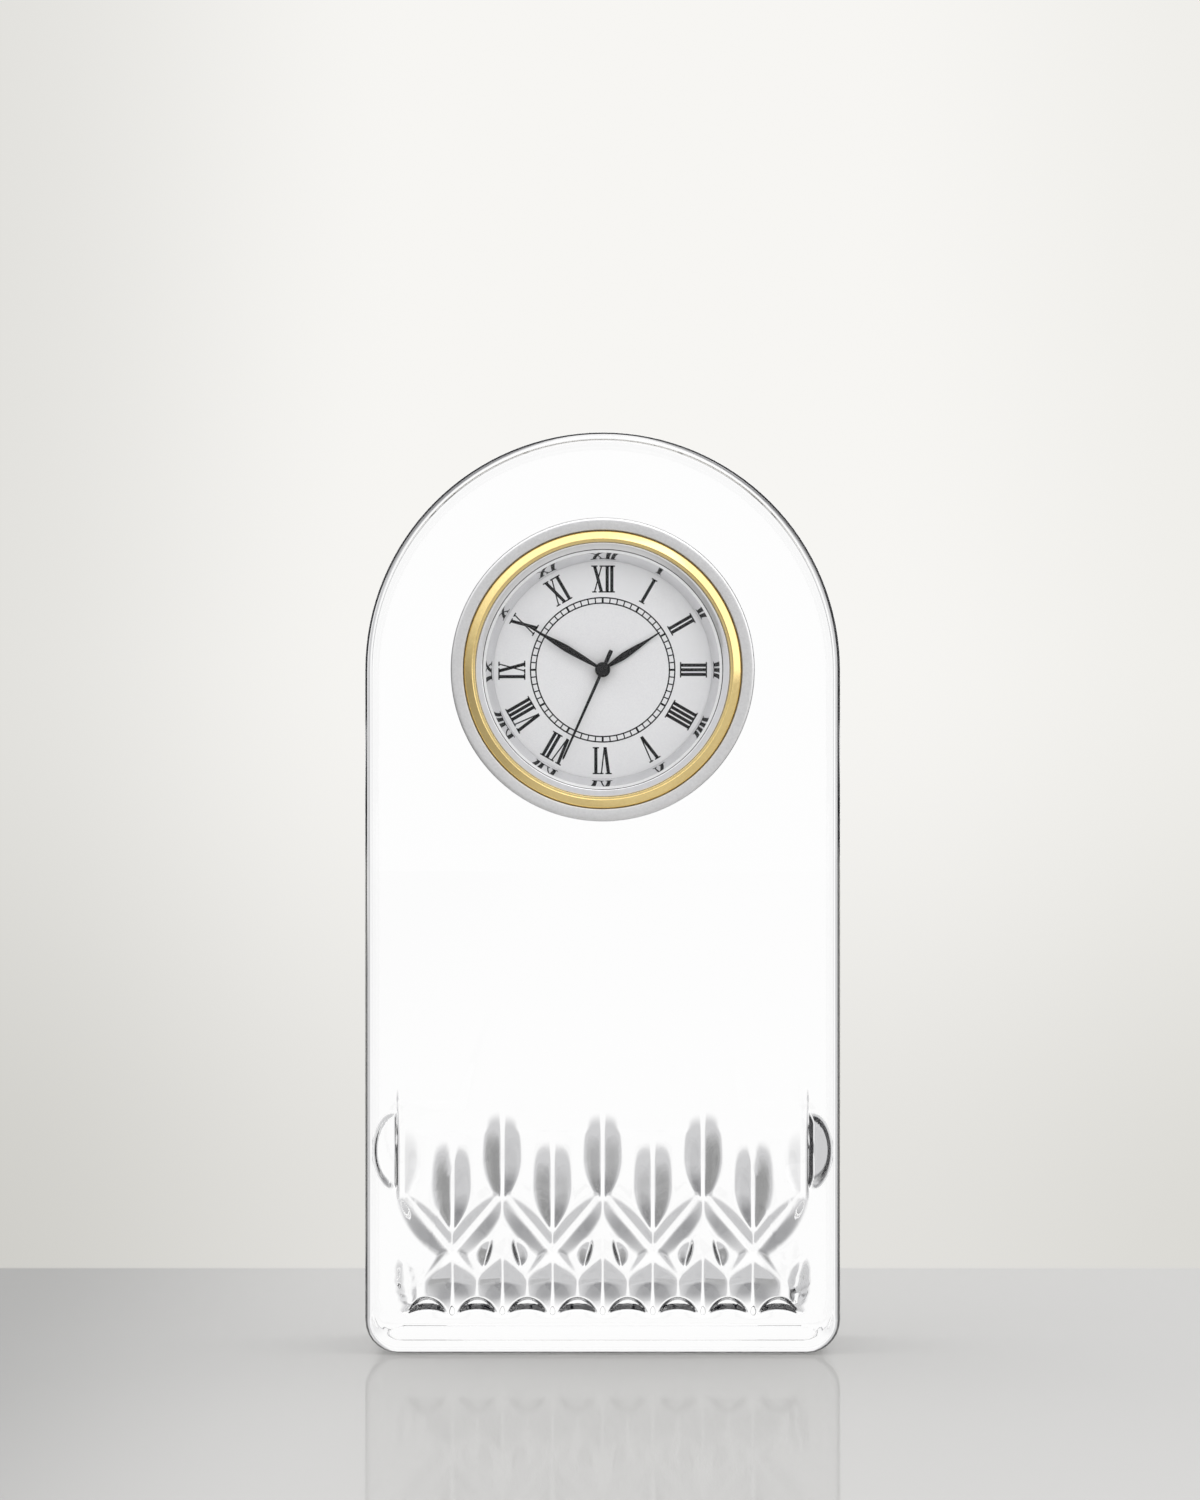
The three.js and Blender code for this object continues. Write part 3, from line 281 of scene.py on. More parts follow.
# Cuts in the front face: half width of the flat floor, the two walls' widths, the depth, the place of
# the deepest point along the cut, and how fast width and depth fall off above and below it. A cut
# leans by degrees, and "left" values are for the dish and leaf by the left edge.
ornament = {
    "pitch": 16.87, "eachSide": 4, "outermostShare": 0.45, "endLine": 34.4, "endSteep": 2.5,
    "softness": 0.14, "root": 0.08, "pastEnd": 2, "upper": 34.2, "lower": 29.4,
    "wedge": {"floor": 0.3, "walls": (2.7, 2.7), "depth": 2.35, "length": 17.0, "belly": -1.2,
              "narrow": (0.3, 1.0), "fall": (1.9, 0.9)},
    "mitre": {"floor": 0.45, "walls": (1.5, 2.5), "depth": 1.6, "length": 18.6, "belly": 1.8,
              "narrow": (0.7, 1.7), "fall": (0.8, 1.5), "height": 19.75, "offset": 2.1, "lean": 42},
    "leaf": {"floor": 0, "walls": (0.5, 1.6), "depth": 1.5, "length": 4.3, "belly": 0,
             "narrow": (0.6, 0.6), "fall": (0.7, 0.7), "height": 17.0, "offset": 2.5, "lean": 17},
    "flute": {"floor": 0.12, "walls": (4.3, 4.3), "depth": 3.1, "length": 10.8, "belly": 1.4, "power": 1.2,
              "narrow": (0.95, 0.05), "fall": (0.95, 1.4), "height": 10.7},
    "crescent": {"width": 6.8, "rise": 3.05, "hollow": 0.8, "depth": 3.1, "height": 6.65,
                 "above": 3.7, "below": 3.6},
    "edgeDish": {"at": 34.6, "out": 3.75, "in": 0, "length": 12.8, "height": 34.2, "depth": 2.6,
                 "steep": 2.5, "leftDepth": 0.8, "leftSteep": 2.2, "tilt": 0.4, "lean": 0},
    "edgeLeaf": {"at": 32.9, "out": 1.4, "in": 1.4, "length": 8.6, "height": 11.7, "depth": 1.6,
                 "steep": 2.3, "leftDepth": 0.6, "leftSteep": 1.8, "tilt": 0.9, "lean": 8},
}

dialCentre = (0.0, crystal["height"] - crystal["width"] / 2)


def spaced(start, end, count):
    return np.linspace(start, end, count, endpoint=False)


# The outline once round from the bottom left: straight foot, corner arc, side, half circle, side and
# corner arc. Gives each column's point and its outward direction, across and up.
def archOutline(c):
    half, corner = c["width"] / 2, c["corner"]
    top, split = dialCentre[1], c["ornamentTop"]
    runs = []

    def straight(x, z, normal):
        runs.append(np.stack(np.broadcast_arrays(x, z, *normal)))

    def arc(x, z, radius, start, end, count):
        angle = np.radians(spaced(start, end, count))
        normal = (np.cos(angle), np.sin(angle))
        straight(x + radius * normal[0], z + radius * normal[1], normal)

    straight(spaced(corner - half, half - corner, c["foot"]), 0, (0, -1))
    arc(half - corner, corner, corner, -90, 0, c["cornerColumns"])
    straight(half, spaced(corner, split, c["lowSide"]), (1, 0))
    straight(half, spaced(split, top, c["highSide"]), (1, 0))
    arc(0, top, half, 0, 180, c["arch"])
    straight(-half, spaced(top, split, c["highSide"]), (-1, 0))
    straight(-half, spaced(split, corner, c["lowSide"]), (-1, 0))
    arc(corner - half, corner, corner, 180, 270, c["cornerColumns"])
    columns = np.concatenate(runs, 1)
    return columns[:2].T, columns[2:].T


# The depth of a wheel-cut groove: depth (1 - |t|^power)^fall, times one less the share of the way up
# a wall, whose width falls off as (1 - |t|^power)^narrow. Here t runs from -1 to 1 along the groove,
# with 0 at its belly, and a power below 2 gives straighter sides. Past the ends the depth goes on down.
def grooveDepth(cut, x, z, cx, cz, lean=0.0, mirror=1):
    turn = np.radians(lean)
    across = ((x - cx) * np.cos(turn) - (z - cz) * np.sin(turn)) * mirror
    along = (x - cx) * np.sin(turn) + (z - cz) * np.cos(turn)
    belly, half = cut["belly"], cut["length"] / 2
    above = along > belly
    t = np.where(above, (along - belly) / (half - belly), (along - belly) / (half + belly))
    least = 1e-4  # keeps a wall's width above nought at the ends
    left = np.maximum(1 - np.abs(t) ** cut.get("power", 2), least)
    narrow = left ** np.where(above, *cut["narrow"])
    fall = cut["depth"] * left ** np.where(above, *cut["fall"])
    wall = np.where(across < 0, *cut["walls"]) * narrow
    root = ornament["root"]
    climbed = np.sqrt(np.maximum(np.abs(across) - cut["floor"], 0) ** 2 + root**2) - root
    return fall * (1 - climbed / wall) - ornament["pastEnd"] * np.maximum(np.abs(t) - 1, 0)


# The depth of a crescent-shaped dish between an outer and an inner arc: the distance to either arc
# times its steepness, whichever is less, down to a flat floor
def crescentDepth(cut, x, z, cx):
    half = cut["width"] / 2
    outer = (half**2 + cut["rise"] ** 2) / (2 * cut["rise"])
    inner = (half**2 + cut["hollow"] ** 2) / (2 * cut["hollow"])
    fromOuter = outer - np.hypot(x - cx, z - (cut["height"] + cut["rise"] - outer))
    fromInner = np.hypot(x - cx, z - (cut["height"] + cut["hollow"] - inner)) - inner
    inside = np.minimum(fromOuter * cut["above"], fromInner * cut["below"])
    return np.minimum(inside, cut["depth"])


# The depth of an oval dish by each side edge: one less the distance from its middle in parts of its
# reach, times steepness, down to a floor that is level on the left and tilted on the right. With no
# reach inwards it is half an oval with an upright inner wall.
def edgeDishDepth(cut, x, z):
    turn = np.radians(cut["lean"])
    out, rise = np.abs(x) - cut["at"], z - cut["height"]
    out, rise = out * np.cos(turn) - rise * np.sin(turn), out * np.sin(turn) + rise * np.cos(turn)
    least = 0.01  # stands for no reach
    reach = np.where(out > 0, cut["out"], max(cut["in"], least))
    inside = (1 - np.hypot(out / reach, rise / (cut["length"] / 2))) * cut["out"]
    if cut["in"] == 0:
        inside = np.minimum(inside, out)
    steep = np.where(x > 0, cut["steep"], cut["leftSteep"])
    floor = np.where(x > 0, cut["depth"] - cut["tilt"] * out, cut["leftDepth"])
    return np.minimum(inside * steep, floor)


# The depths of all the cuts on the front face, one layer for each. Wedges stand half a pitch apart
# in two rows by turns. Under each is a flute, but not under the outermost, which end in a step. Two
# mitres run down to meet above the foot of each lower wedge, and two leaf marks lie under each upper.
def ornamentDepths(cuts, x, z):
    layers, last = [], cuts["eachSide"]
    step = np.maximum(np.abs(x) - cuts["endLine"], 0) * cuts["endSteep"]
    for place in range(-last, last + 1):
        cx = place * cuts["pitch"] / 2
        upper, outermost = place % 2 == 0, abs(place) == last
        wedge, height = cuts["wedge"], cuts["upper"] if upper else cuts["lower"]
        if outermost:
            wedge = dict(wedge, depth=wedge["depth"] * cuts["outermostShare"])
        layers.append(grooveDepth(wedge, x, z, cx, height) - step)
        if place < last:
            layers.append(crescentDepth(cuts["crescent"], x, z, cx + cuts["pitch"] / 4))
        if outermost:
            continue
        layers.append(grooveDepth(cuts["flute"], x, z, cx, cuts["flute"]["height"]))
        cut, turn = (cuts["leaf"], -1) if upper else (cuts["mitre"], 1)
        for side in (-1, 1):
            lean = turn * side * cut["lean"]
            layers.append(grooveDepth(cut, x, z, cx + side * cut["offset"], cut["height"], lean, side))
    return [*layers, edgeDishDepth(cuts["edgeDish"], x, z), edgeDishDepth(cuts["edgeLeaf"], x, z)]


# The greatest of several depths, with the crest between them rounded: the greatest plus softness
# times the logarithm of the sum of e^((depth - greatest) / softness)
def softGreatest(layers, softness):
    top = np.maximum.reduce(layers)
    total = sum(np.exp((layer - top) / softness) for layer in layers)
    return top + softness * np.log(total)


# Rows run from the bore over the front face, round the front edge, along the side, round the back
# edge and over the back face to the bore again; columns follow the outline. An edge is a quarter
# of an ellipse: width (1 - sin a) in from the outline and deep (1 - cos a) from the face. The back
# edge is all but sharp at the foot. On the front rows the depth is the softly greatest of the
# blank's own and those of the cuts.
def crystalSurface(c):
    outline, normal = archOutline(c)
    half, deep, backDeep = c["depth"] / 2, c["edgeDeep"], c["backEdgeDeep"]
    centre = np.array(dialCentre)
    inset = outline - c["edge"] * normal
    ray = inset - centre
    bore = centre + c["bore"] * (ray / np.linalg.norm(ray, axis=1)[:, None])
    upward = np.clip(1 + normal[:, 1:], 0, 1)
    backEdge = c["backEdge"] * (c["footEdgeShare"] + (1 - c["footEdgeShare"]) * upward**4)
    backInset = outline - backEdge * normal
    share = np.concatenate([spaced(*stretch) for stretch in c["frontRows"]])
    bend = np.linspace(0, np.pi / 2, c["edgeRows"])
    backBend = np.linspace(np.pi / 2, 0, c["backEdgeRows"])
    rows = [
        *((bore + s * (inset - bore), -half) for s in share),
        *((outline - c["edge"] * (1 - np.sin(a)) * normal, -half + deep * (1 - np.cos(a))) for a in bend),
        *((outline, y) for y in (-half + deep + c["besideEdge"], 0, half - backDeep - c["besideEdge"])),
        *((outline - backEdge * (1 - np.sin(a)) * normal, half - backDeep * (1 - np.cos(a)))
          for a in backBend),
        *((bore + s * (backInset - bore), half) for s in c["backShares"]),
        *((bore, y) for y in np.linspace(half, -half, c["boreRows"])[1:-1]),
    ]
    places = np.stack([place for place, y in rows])
    depth = np.repeat(np.array([y for place, y in rows])[:, None], places.shape[1], 1)
    points = np.stack([places[..., 0], depth, places[..., 1]], -1)

    front = len(share) + len(bend)
    x, y, z = np.moveaxis(points[:front], -1, 0)
    blank = y + half
    sunk = softGreatest([blank, *ornamentDepths(ornament, x, z)], ornament["softness"])
    points[:front, :, 1] += sunk - blank
    return points


slab = gridMesh("cutCrystal", crystalSurface(crystal))
makePiece("cutCrystal", [slab], "crystal", leadCrystal, ["crystal_body"], sharp=85)
print("crystal:", len(slab.polygons), "quads")


# The insert's rings, as radii and depths. Each section goes once round the ring's profile.
insert = {
    "flange": 25.5, "flangeFront": -20.3, "flangeBack": -18.1, "edge": 0.2,
    "trimOutside": 23.35, "recessFloor": -18.9, "seat": 0.1,
    "ledge": 19.58, "ledgeBack": -18.2, "barrel": 22.6, "barrelInside": 21.9, "barrelEnd": -6.5,
    "soft": [0.06, 0.3, 0.3, 0.4, 0.1, 0.02, 0.02, 0.02, 0.02, 0.05, 0.12, 0.08],
}


# The case: a flange with rounded rim, a recess for the trim, a ledge for the glass and the barrel
def caseSection(c):
    front, recess = c["flangeFront"], c["trimOutside"] + c["seat"]
    return [
        (c["flange"], c["flangeBack"]), (c["flange"], front + 2 * c["edge"]),
        (c["flange"] - c["edge"] / 2, front + c["edge"] / 2), (c["flange"] - 2 * c["edge"], front),
        (recess, front), (recess, c["recessFloor"]), (c["ledge"], c["recessFloor"]),
        (c["ledge"], c["ledgeBack"]), (c["barrelInside"], c["ledgeBack"]),
        (c["barrelInside"], c["barrelEnd"]), (c["barrel"], c["barrelEnd"]), (c["barrel"], c["flangeBack"]),
    ]


caseMesh = turned("caseShell", softened(caseSection(insert), insert["soft"]), dialCentre, steps=224)
makePiece("caseShell", [caseMesh], "insert", satinSilver, ["case_body"])

goldRing = {
    "outside": insert["trimOutside"], "inside": 21.4, "front": -20.9, "back": -19.0,
    "shoulder": 1.05, "crown": 0.2, "lift": 0.72, "step": 0.4, "stepDrop": 0.45, "lip": (0.15, 0.05),
    "soft": [0.03, 0.2, 0.25, 0.25, 0.05, 0.03, 0.08, 0.03],
}


# The gold ring: a slope that rises inwards to a crest, and a step down to the inner ring
def goldSection(g):
    crest, ledge = g["inside"] + g["step"], g["front"] + g["stepDrop"]
    return [
        (g["outside"], g["back"]), (g["outside"], g["front"] + g["shoulder"]),
        (g["outside"] - g["crown"], g["front"] + g["lift"]), (crest + g["lip"][0], g["front"]),
        (crest, g["front"] + g["lip"][1]), (crest, ledge), (g["inside"], ledge), (g["inside"], g["back"]),
    ]


goldCurve = softened(goldSection(goldRing), goldRing["soft"], steps=6)
goldMesh = turned("goldBezel", goldCurve, dialCentre, steps=256)
makePiece("goldBezel", [goldMesh], "insert", paleGold, ["gold_trim_ring"])

innerRing = {
    "outside": 21.3, "inside": 20.18, "front": -20.2, "back": -19.0, "slope": 0.1,
    "soft": [0.02, 0.12, 0.1, 0.02],
}


# A ring of four corners whose front may slope back inwards
def ringSection(r):
    return [
        (r["outside"], r["back"]), (r["outside"], r["front"]),
        (r["inside"], r["front"] + r["slope"]), (r["inside"], r["back"]),
    ]


innerMesh = turned("innerRing", softened(ringSection(innerRing), innerRing["soft"]), dialCentre, steps=224)
makePiece("innerRing", [innerMesh], "insert", brightSilver, ["lens_ring"])

watchGlass = {"radius": 20.08, "front": -19.9, "back": -19.0, "bevel": 0.3, "backBevel": 0.05}


# The watch glass: a flat disc, bevelled in two steps in front and in one behind
def glassSection(w):
    radius, bevel, small = w["radius"], w["bevel"], w["backBevel"]
    return [
        (0, w["back"]), (radius - small, w["back"]), (radius, w["back"] - small),
        (radius, w["front"] + bevel), (radius - bevel / 2, w["front"] + bevel / 3),
        (radius - bevel, w["front"]), (0, w["front"]),
    ]


glassMesh = turned("watchGlass", glassSection(watchGlass), dialCentre, poles=True)
makePiece("watchGlass", [glassMesh], "insert", watchCrystal, ["lens"])

# A thin black ring between the watch glass and its ring draws a fine dark circle: painted shade at the
# glass's edge
shadeRing = {"outside": 20.175, "inside": 20.085, "front": -19.8, "back": -19.1, "slope": 0, "soft": 0.02}
shadeRingMesh = turned("glassShadeRing", softened(ringSection(shadeRing), shadeRing["soft"], steps=3), dialCentre, steps=224)
makePiece("glassShadeRing", [shadeRingMesh], "insert", bandRubber)

# The mirror ring is a funnel from the glass down to the dial
mirrorRing = {
    "outside": 21.8, "top": 19.58, "bottom": 18.1, "front": -18.1, "back": -15.8,
    "soft": [0.02, 0.08, 0.03, 0.02],
}
mirrorSection = [
    (mirrorRing["outside"], mirrorRing["front"]), (mirrorRing["top"], mirrorRing["front"]),
    (mirrorRing["bottom"], mirrorRing["back"]), (mirrorRing["outside"], mirrorRing["back"]),
]
mirrorMesh = turned("mirrorRing", softened(mirrorSection, mirrorRing["soft"]), dialCentre, steps=256)
makePiece("mirrorRing", [mirrorMesh], "insert", mirrorSilver, ["reflector_ring"])

dialPlate = {
    "radius": 21.8, "front": -15.7, "back": -15.3, "hole": 0.95, "soft": 0.03,
    "feet": (-11.2, 11.2), "footRadius": 0.45, "footFront": -15.5, "footEnd": -13.0,
}


# The dial: a thin disc with a round hole, and a plain round foot, both as radii and depths
def dialSection(d):
    return [
        (d["radius"], d["front"]), (d["radius"], d["back"]), (d["hole"], d["back"]), (d["hole"], d["front"]),
    ]


def footSection(d):
    radius, front, end = d["footRadius"], d["footFront"], d["footEnd"]
    return [(0, front), (radius, front), (radius, end), (0, end)]


dialCurve = softened(dialSection(dialPlate), dialPlate["soft"], steps=3)
dialMeshes = [turned("dialPlate", dialCurve, dialCentre)]
for foot in dialPlate["feet"]:
    footCentre = (dialCentre[0], dialCentre[1] + foot)
    dialMeshes.append(turned("dialFoot", footSection(dialPlate), footCentre, steps=24, poles=True))
makePiece("dialPlate", dialMeshes, "insert", dialSilver, ["dial"])
print("insert rings made")


# Printing on the dial: widths of strokes, and each letter's advance
numerals = {
    "foot": 12.85, "head": 17.35, "thick": 0.54, "thin": 0.22, "serif": 0.22, "serifReach": 0.25,
    "height": 0.02, "gap": 0.27, "legInset": 0.12, "veeShift": 0.1,
    "words": ["XII", "I", "II", "III", "IIII", "V", "VI", "VII", "VIII", "IX", "X", "XI"],
    "advance": {"I": 0.5, "V": 2.0, "X": 2.0},
}
track = {
    "inside": 11.1, "outside": 12.0, "line": 0.22, "lineRise": 1.2,
    "ticks": 60, "tick": 0.2, "hourTick": 0.34,
}
hours = 12


# A slab from a bottom edge to a top edge, both level: its four corners are set off by half its width
def stroke(low, high, width):
    (x0, z0), (x1, z1) = low, high
    return [(x0 - width / 2, z0), (x0 + width / 2, z0), (x1 + width / 2, z1), (x1 - width / 2, z1)]


# The strokes of a numeral, upright on its foot line, with its middle at nought
def numeralStrokes(word, n):
    tall = n["head"] - n["foot"]
    widths = [n["advance"][letter] for letter in word]
    total = sum(widths) + n["gap"] * (len(word) - 1)
    strokes, x = [], -total / 2
    for letter, width in zip(word, widths):
        middle = x + width / 2
        reach = width / 2 - n["thick"] / 2 - n["legInset"]
        left, right = middle - reach, middle + reach
        legs = {
            "I": [(middle, middle, n["thick"])],
            "V": [(middle, left, n["thick"]), (middle + n["veeShift"], right, n["thin"])],
            "X": [(right, left, n["thick"]), (left, right, n["thin"])],
        }[letter]
        for low, high, thick in legs:
            strokes.append(stroke((low, 0), (high, tall), thick))
            serifs = [(high, tall - n["serif"], tall)]
            if letter != "V":
                serifs.append((low, 0, n["serif"]))
            for at, bottom, top in serifs:
                strokes.append(stroke((at, bottom), (at, top), thick + 2 * n["serifReach"]))
        x += width + n["gap"]
    return np.array(strokes)


# Flat four-sided outlines become low prisms on the dial: n outlines of four corners each
def prisms(name, corners, front, height):
    low = np.stack([corners[..., 0], np.full(corners.shape[:2], front), corners[..., 1]], -1)
    high = low.copy()
    high[..., 1] -= height
    points = np.concatenate([low, high], 1).reshape(-1, 3) * mm
    base = np.arange(len(corners))[:, None, None] * 8
    sides = np.array([[0, 1, 2, 3], [7, 6, 5, 4], [0, 4, 5, 1], [1, 5, 6, 2], [2, 6, 7, 3], [3, 7, 4, 0]])
    faces = (base + sides).reshape(-1, 4)
    mesh = bpy.data.meshes.new(name)
    mesh.from_pydata(points.tolist(), [], faces.tolist())
    work = bmesh.new()
    work.from_mesh(mesh)
    bmesh.ops.recalc_face_normals(work, faces=work.faces)
    work.to_mesh(mesh)
    work.free()
    return mesh


# Turns outlines drawn upright above the centre to a clock angle round it
def atClockAngle(corners, degrees):
    angle = np.radians(degrees)
    x, z = corners[..., 0], corners[..., 1]
    across = dialCentre[0] + x * np.cos(angle) + z * np.sin(angle)
    up = dialCentre[1] - x * np.sin(angle) + z * np.cos(angle)
    return np.stack([across, up], -1)


printed = []
for hour, word in enumerate(numerals["words"]):
    strokes = numeralStrokes(word, numerals)
    strokes[..., 1] += numerals["foot"]
    printed.append(atClockAngle(strokes, hour * 360 / hours))
dialFront = dialPlate["front"]
numeralMesh = prisms("romanNumerals", np.concatenate(printed), dialFront, numerals["height"])
makePiece("romanNumerals", [numeralMesh], "insert", inkBlack, sharp=20)

marks = []
for tick in range(track["ticks"]):
    wide = track["hourTick"] if tick % (track["ticks"] // hours) == 0 else track["tick"]
    mark = np.array([stroke((0, track["inside"]), (0, track["outside"]), wide)])
    marks.append(atClockAngle(mark, tick * 360 / track["ticks"]))
trackMeshes = [prisms("minuteTicks", np.concatenate(marks), dialFront, numerals["height"])]
halfLine, lineTop = track["line"] / 2, dialFront - numerals["height"] * track["lineRise"]
for radius in (track["inside"], track["outside"]):
    inside, outside = radius - halfLine, radius + halfLine
    line = [(inside, lineTop), (outside, lineTop), (outside, dialFront), (inside, dialFront)]
    trackMeshes.append(turned("trackLine", line, dialCentre, steps=180))
makePiece("minuteTrack", trackMeshes, "insert", inkBlack, sharp=20)
print("dial printed")


# Hands: the clock angle in degrees, and widths at lengths along the blade. A hub without a hole is
# domed as in handHub.
hands = {
    "hour": {"body": "hour_pipe", "angle": 56.8, "front": -16.35, "thick": 0.2, "hub": 1.25, "hole": 0.62,
             "length": [0.8, 1.25, 2.6, 4.2, 6.2, 8.2, 9.2, 11.2, 11.4],
             "width": [0.46, 0.52, 0.92, 1.2, 0.96, 0.56, 0.38, 0.26, 0.08]},
    "minute": {"body": "minute_arbor", "angle": 300.3, "front": -17.0, "thick": 0.2, "hub": 1.2, "hole": 0.36,
               "length": [0.7, 1.2, 3.5, 7, 9, 11, 12, 15.6, 15.8],
               "width": [0.46, 0.52, 0.88, 1.18, 0.94, 0.52, 0.4, 0.26, 0.08]},
    "second": {"body": "second_arbor", "angle": 204, "front": -17.65, "thick": 0.2, "hub": 1.27, "hole": 0,
               "length": [-3.55, -3.4, -1.6, -0.8, 0, 2, 8, 16.3, 16.4],
               "width": [0.6, 0.72, 0.7, 0.56, 0.54, 0.52, 0.46, 0.34, 0.16]},
}
handHub = {"soft": 0.06, "rim": 0.2, "shoulder": 0.29, "top": 0.35, "bevel": 0.05, "crown": 0.2, "steps": 64}
bladeCurve = {"across": 0.7, "crown": 0.8, "mean": 3}  # powers that square the section; stations averaged


# A hand's blade: half widths along its length, and across it a low crown, so that a point is
# (half width times cos v, crown times sin v) at each station, each to a power, turned to the clock angle
def bladeMesh(h, steps=64, sides=12):
    along = np.linspace(h["length"][0], h["length"][-1], steps)
    half = np.interp(along, h["length"], h["width"]) / 2
    kernel = np.ones(bladeCurve["mean"]) / bladeCurve["mean"]
    half[2:-2] = np.convolve(half, kernel, "same")[2:-2]
    v = spaced(0, fullTurn, sides)

    def power(value, exponent):
        return np.sign(value) * np.abs(value) ** exponent

    middle, crown = h["front"] + h["thick"] / 2, h["thick"] / 2
    x = half[:, None] * power(np.cos(v), bladeCurve["across"])
    y = middle - crown * power(np.sin(v), bladeCurve["crown"]) * np.ones((steps, 1))
    z = np.repeat(along[:, None], sides, 1)
    tips = [np.broadcast_to([0, middle, at], (1, sides, 3)) for at in (along[0], along[-1])]
    blade = np.concatenate([tips[0], np.stack([x, y, z], -1), tips[1]])
    flat = atClockAngle(blade[..., [0, 2]], h["angle"])
    blade = np.stack([flat[..., 0], blade[..., 1], flat[..., 1]], -1)
    return gridMesh("blade", blade, closeRows=False, poles=True)


# A hub: a flat ring with a hole, or a cap whose edge is bevelled in two steps
def hubMesh(h, cap):
    front, back, hub = h["front"], h["front"] + h["thick"], h["hub"]
    if h["hole"]:
        ring = [(hub, back), (hub, front), (h["hole"], front), (h["hole"], back)]
        return turned("hub", softened(ring, cap["soft"], steps=4), dialCentre, cap["steps"])
    dome = [
        (0, back), (hub, back), (hub, front - cap["rim"]), (hub - cap["bevel"], front - cap["shoulder"]),
        (hub - cap["crown"], front - cap["top"]), (0, front - cap["top"]),
    ]
    return turned("hub", dome, dialCentre, cap["steps"], poles=True)


for name, hand in hands.items():
    handMeshes = [bladeMesh(hand), hubMesh(hand, handHub)]
    makePiece(name + "Hand", handMeshes, hand["body"], handBlack, [name + "_hand"])
print("hands made")


# The back of the insert. The band's ribs rise from valley to rib radius as sin^2 along its length.
band = {
    "inside": 22.7, "valley": 22.8, "rib": 23.08, "start": -16.8, "length": 6.6, "ribs": 6, "stations": 73,
}
cover = {
    "radius": 22.6, "front": -6.4, "back": -5.5, "hole": 4.3, "holeAt": (0.0, 107.8), "level": 12,
    "spigotFront": -7.5, "spigotOutside": 21.8, "spigotInside": 20.8, "sunk": 0.22,
    "groove": 18.4, "grooveOutside": (19.6, 19.3), "grooveRamp": 0.3, "rim": (1.1, 0.9),
    "soft": [0.05, 0.25, *[0.06] * 8, 0.03, 0.06, 0.03, 0.1, 0.1, 0.03],
}
knob = {
    "radius": 4, "front": -6.7, "back": -4.6, "flutes": 24, "dip": 0.25, "socket": 0.59, "dished": 0.35,
    "rim": (0.9, 1.3), "fluteReach": 1, "soft": [0.05, 0.25, 0.3, 0.15, 0.15, 0.05],
}
settingPin = {"play": 0.05, "from": 1.2, "shoulder": 0.45, "tip": 0.38}

along = np.linspace(0, band["length"], band["stations"])
swell = (band["rib"] - band["valley"]) * np.sin(np.pi * band["ribs"] * along / band["length"]) ** 2
bandSection = [
    (band["inside"], band["start"]), *zip(band["valley"] + swell, band["start"] + along),
    (band["inside"], band["start"] + band["length"]),
]
bandMesh = turned("gripBand", bandSection, dialCentre, steps=200)
makePiece("gripBand", [bandMesh], "insert", bandRubber, ["grip_band"])


# The cover is turned about the dial centre as far in as its level radius; from there its circles slide
# over to the hole for the knob: the centre moves with the share of the way in
def coverMesh(c, steps=200):
    sunk = c["back"] - c["sunk"]
    profile = softened([
        (c["radius"], c["front"]), (c["radius"], c["back"]), (c["grooveOutside"][0], c["back"]),
        (c["grooveOutside"][1], sunk), (c["groove"], sunk), (c["groove"] - c["grooveRamp"], c["back"]),
        (c["level"], c["back"]), (c["hole"] + c["rim"][0], c["back"]), (c["hole"] + c["rim"][1], sunk),
        (c["hole"], sunk), (c["hole"], c["front"]), (c["level"], c["front"]),
        (c["spigotInside"], c["front"]), (c["spigotInside"], c["spigotFront"]),
        (c["spigotOutside"], c["spigotFront"]), (c["spigotOutside"], c["front"]),
    ], c["soft"], steps=4)
    r, y = profile[:, :1], profile[:, 1:]
    u = spaced(0, fullTurn, steps)
    share = np.clip((c["level"] - r) / (c["level"] - c["hole"]), 0, 1)
    cx = dialCentre[0] + share * (c["holeAt"][0] - dialCentre[0])
    cz = dialCentre[1] + share * (c["holeAt"][1] - dialCentre[1])
    points = [cx + r * np.sin(u), np.repeat(y, steps, 1), cz + r * np.cos(u)]
    return gridMesh("backCover", np.stack(points, -1))


# The knob is turned about its own axis, and its rim is fluted: the radius dips by a cosine of the
# angle, less and less as far in as the flutes reach
def knobMesh(k, centre, steps=288):
    dished = k["back"] - k["dished"]
    profile = softened([
        (k["socket"], k["front"]), (k["radius"], k["front"]), (k["radius"], k["back"]),
        (k["radius"] - k["rim"][0], k["back"]), (k["radius"] - k["rim"][1], dished), (k["socket"], dished),
    ], k["soft"])
    r, y = profile[:, :1], profile[:, 1:]
    u = spaced(0, fullTurn, steps)
    rim = np.clip((r - k["radius"]) / k["fluteReach"] + 1, 0, 1)
    r = r - k["dip"] * (0.5 - 0.5 * np.cos(k["flutes"] * u)) * rim
    points = [centre[0] + r * np.sin(u), np.repeat(y, steps, 1), centre[1] + r * np.cos(u)]
    return gridMesh("settingKnob", np.stack(points, -1))


# The stem's tip in the knob's socket, with a low cone at its end
def pinSection(p, k):
    radius, back = k["socket"] - p["play"], k["back"]
    start, shoulder = back - p["from"], back - p["shoulder"]
    return [(0, start), (radius, start), (radius, shoulder), (0, back - p["tip"])]


makePiece("backCover", [coverMesh(cover)], "rear_cover", ivoryPlastic, ["back_cover"])
pinMesh = turned("settingPin", pinSection(settingPin, knob), cover["holeAt"], steps=32, poles=True)
knobMeshes = [knobMesh(knob, cover["holeAt"])]
makePiece("settingKnob", knobMeshes, "setting_shaft", blackPlastic, ["setting_knob"])
makePiece("settingPin", [pinMesh], "setting_shaft", nickelPlate)
print("back made")


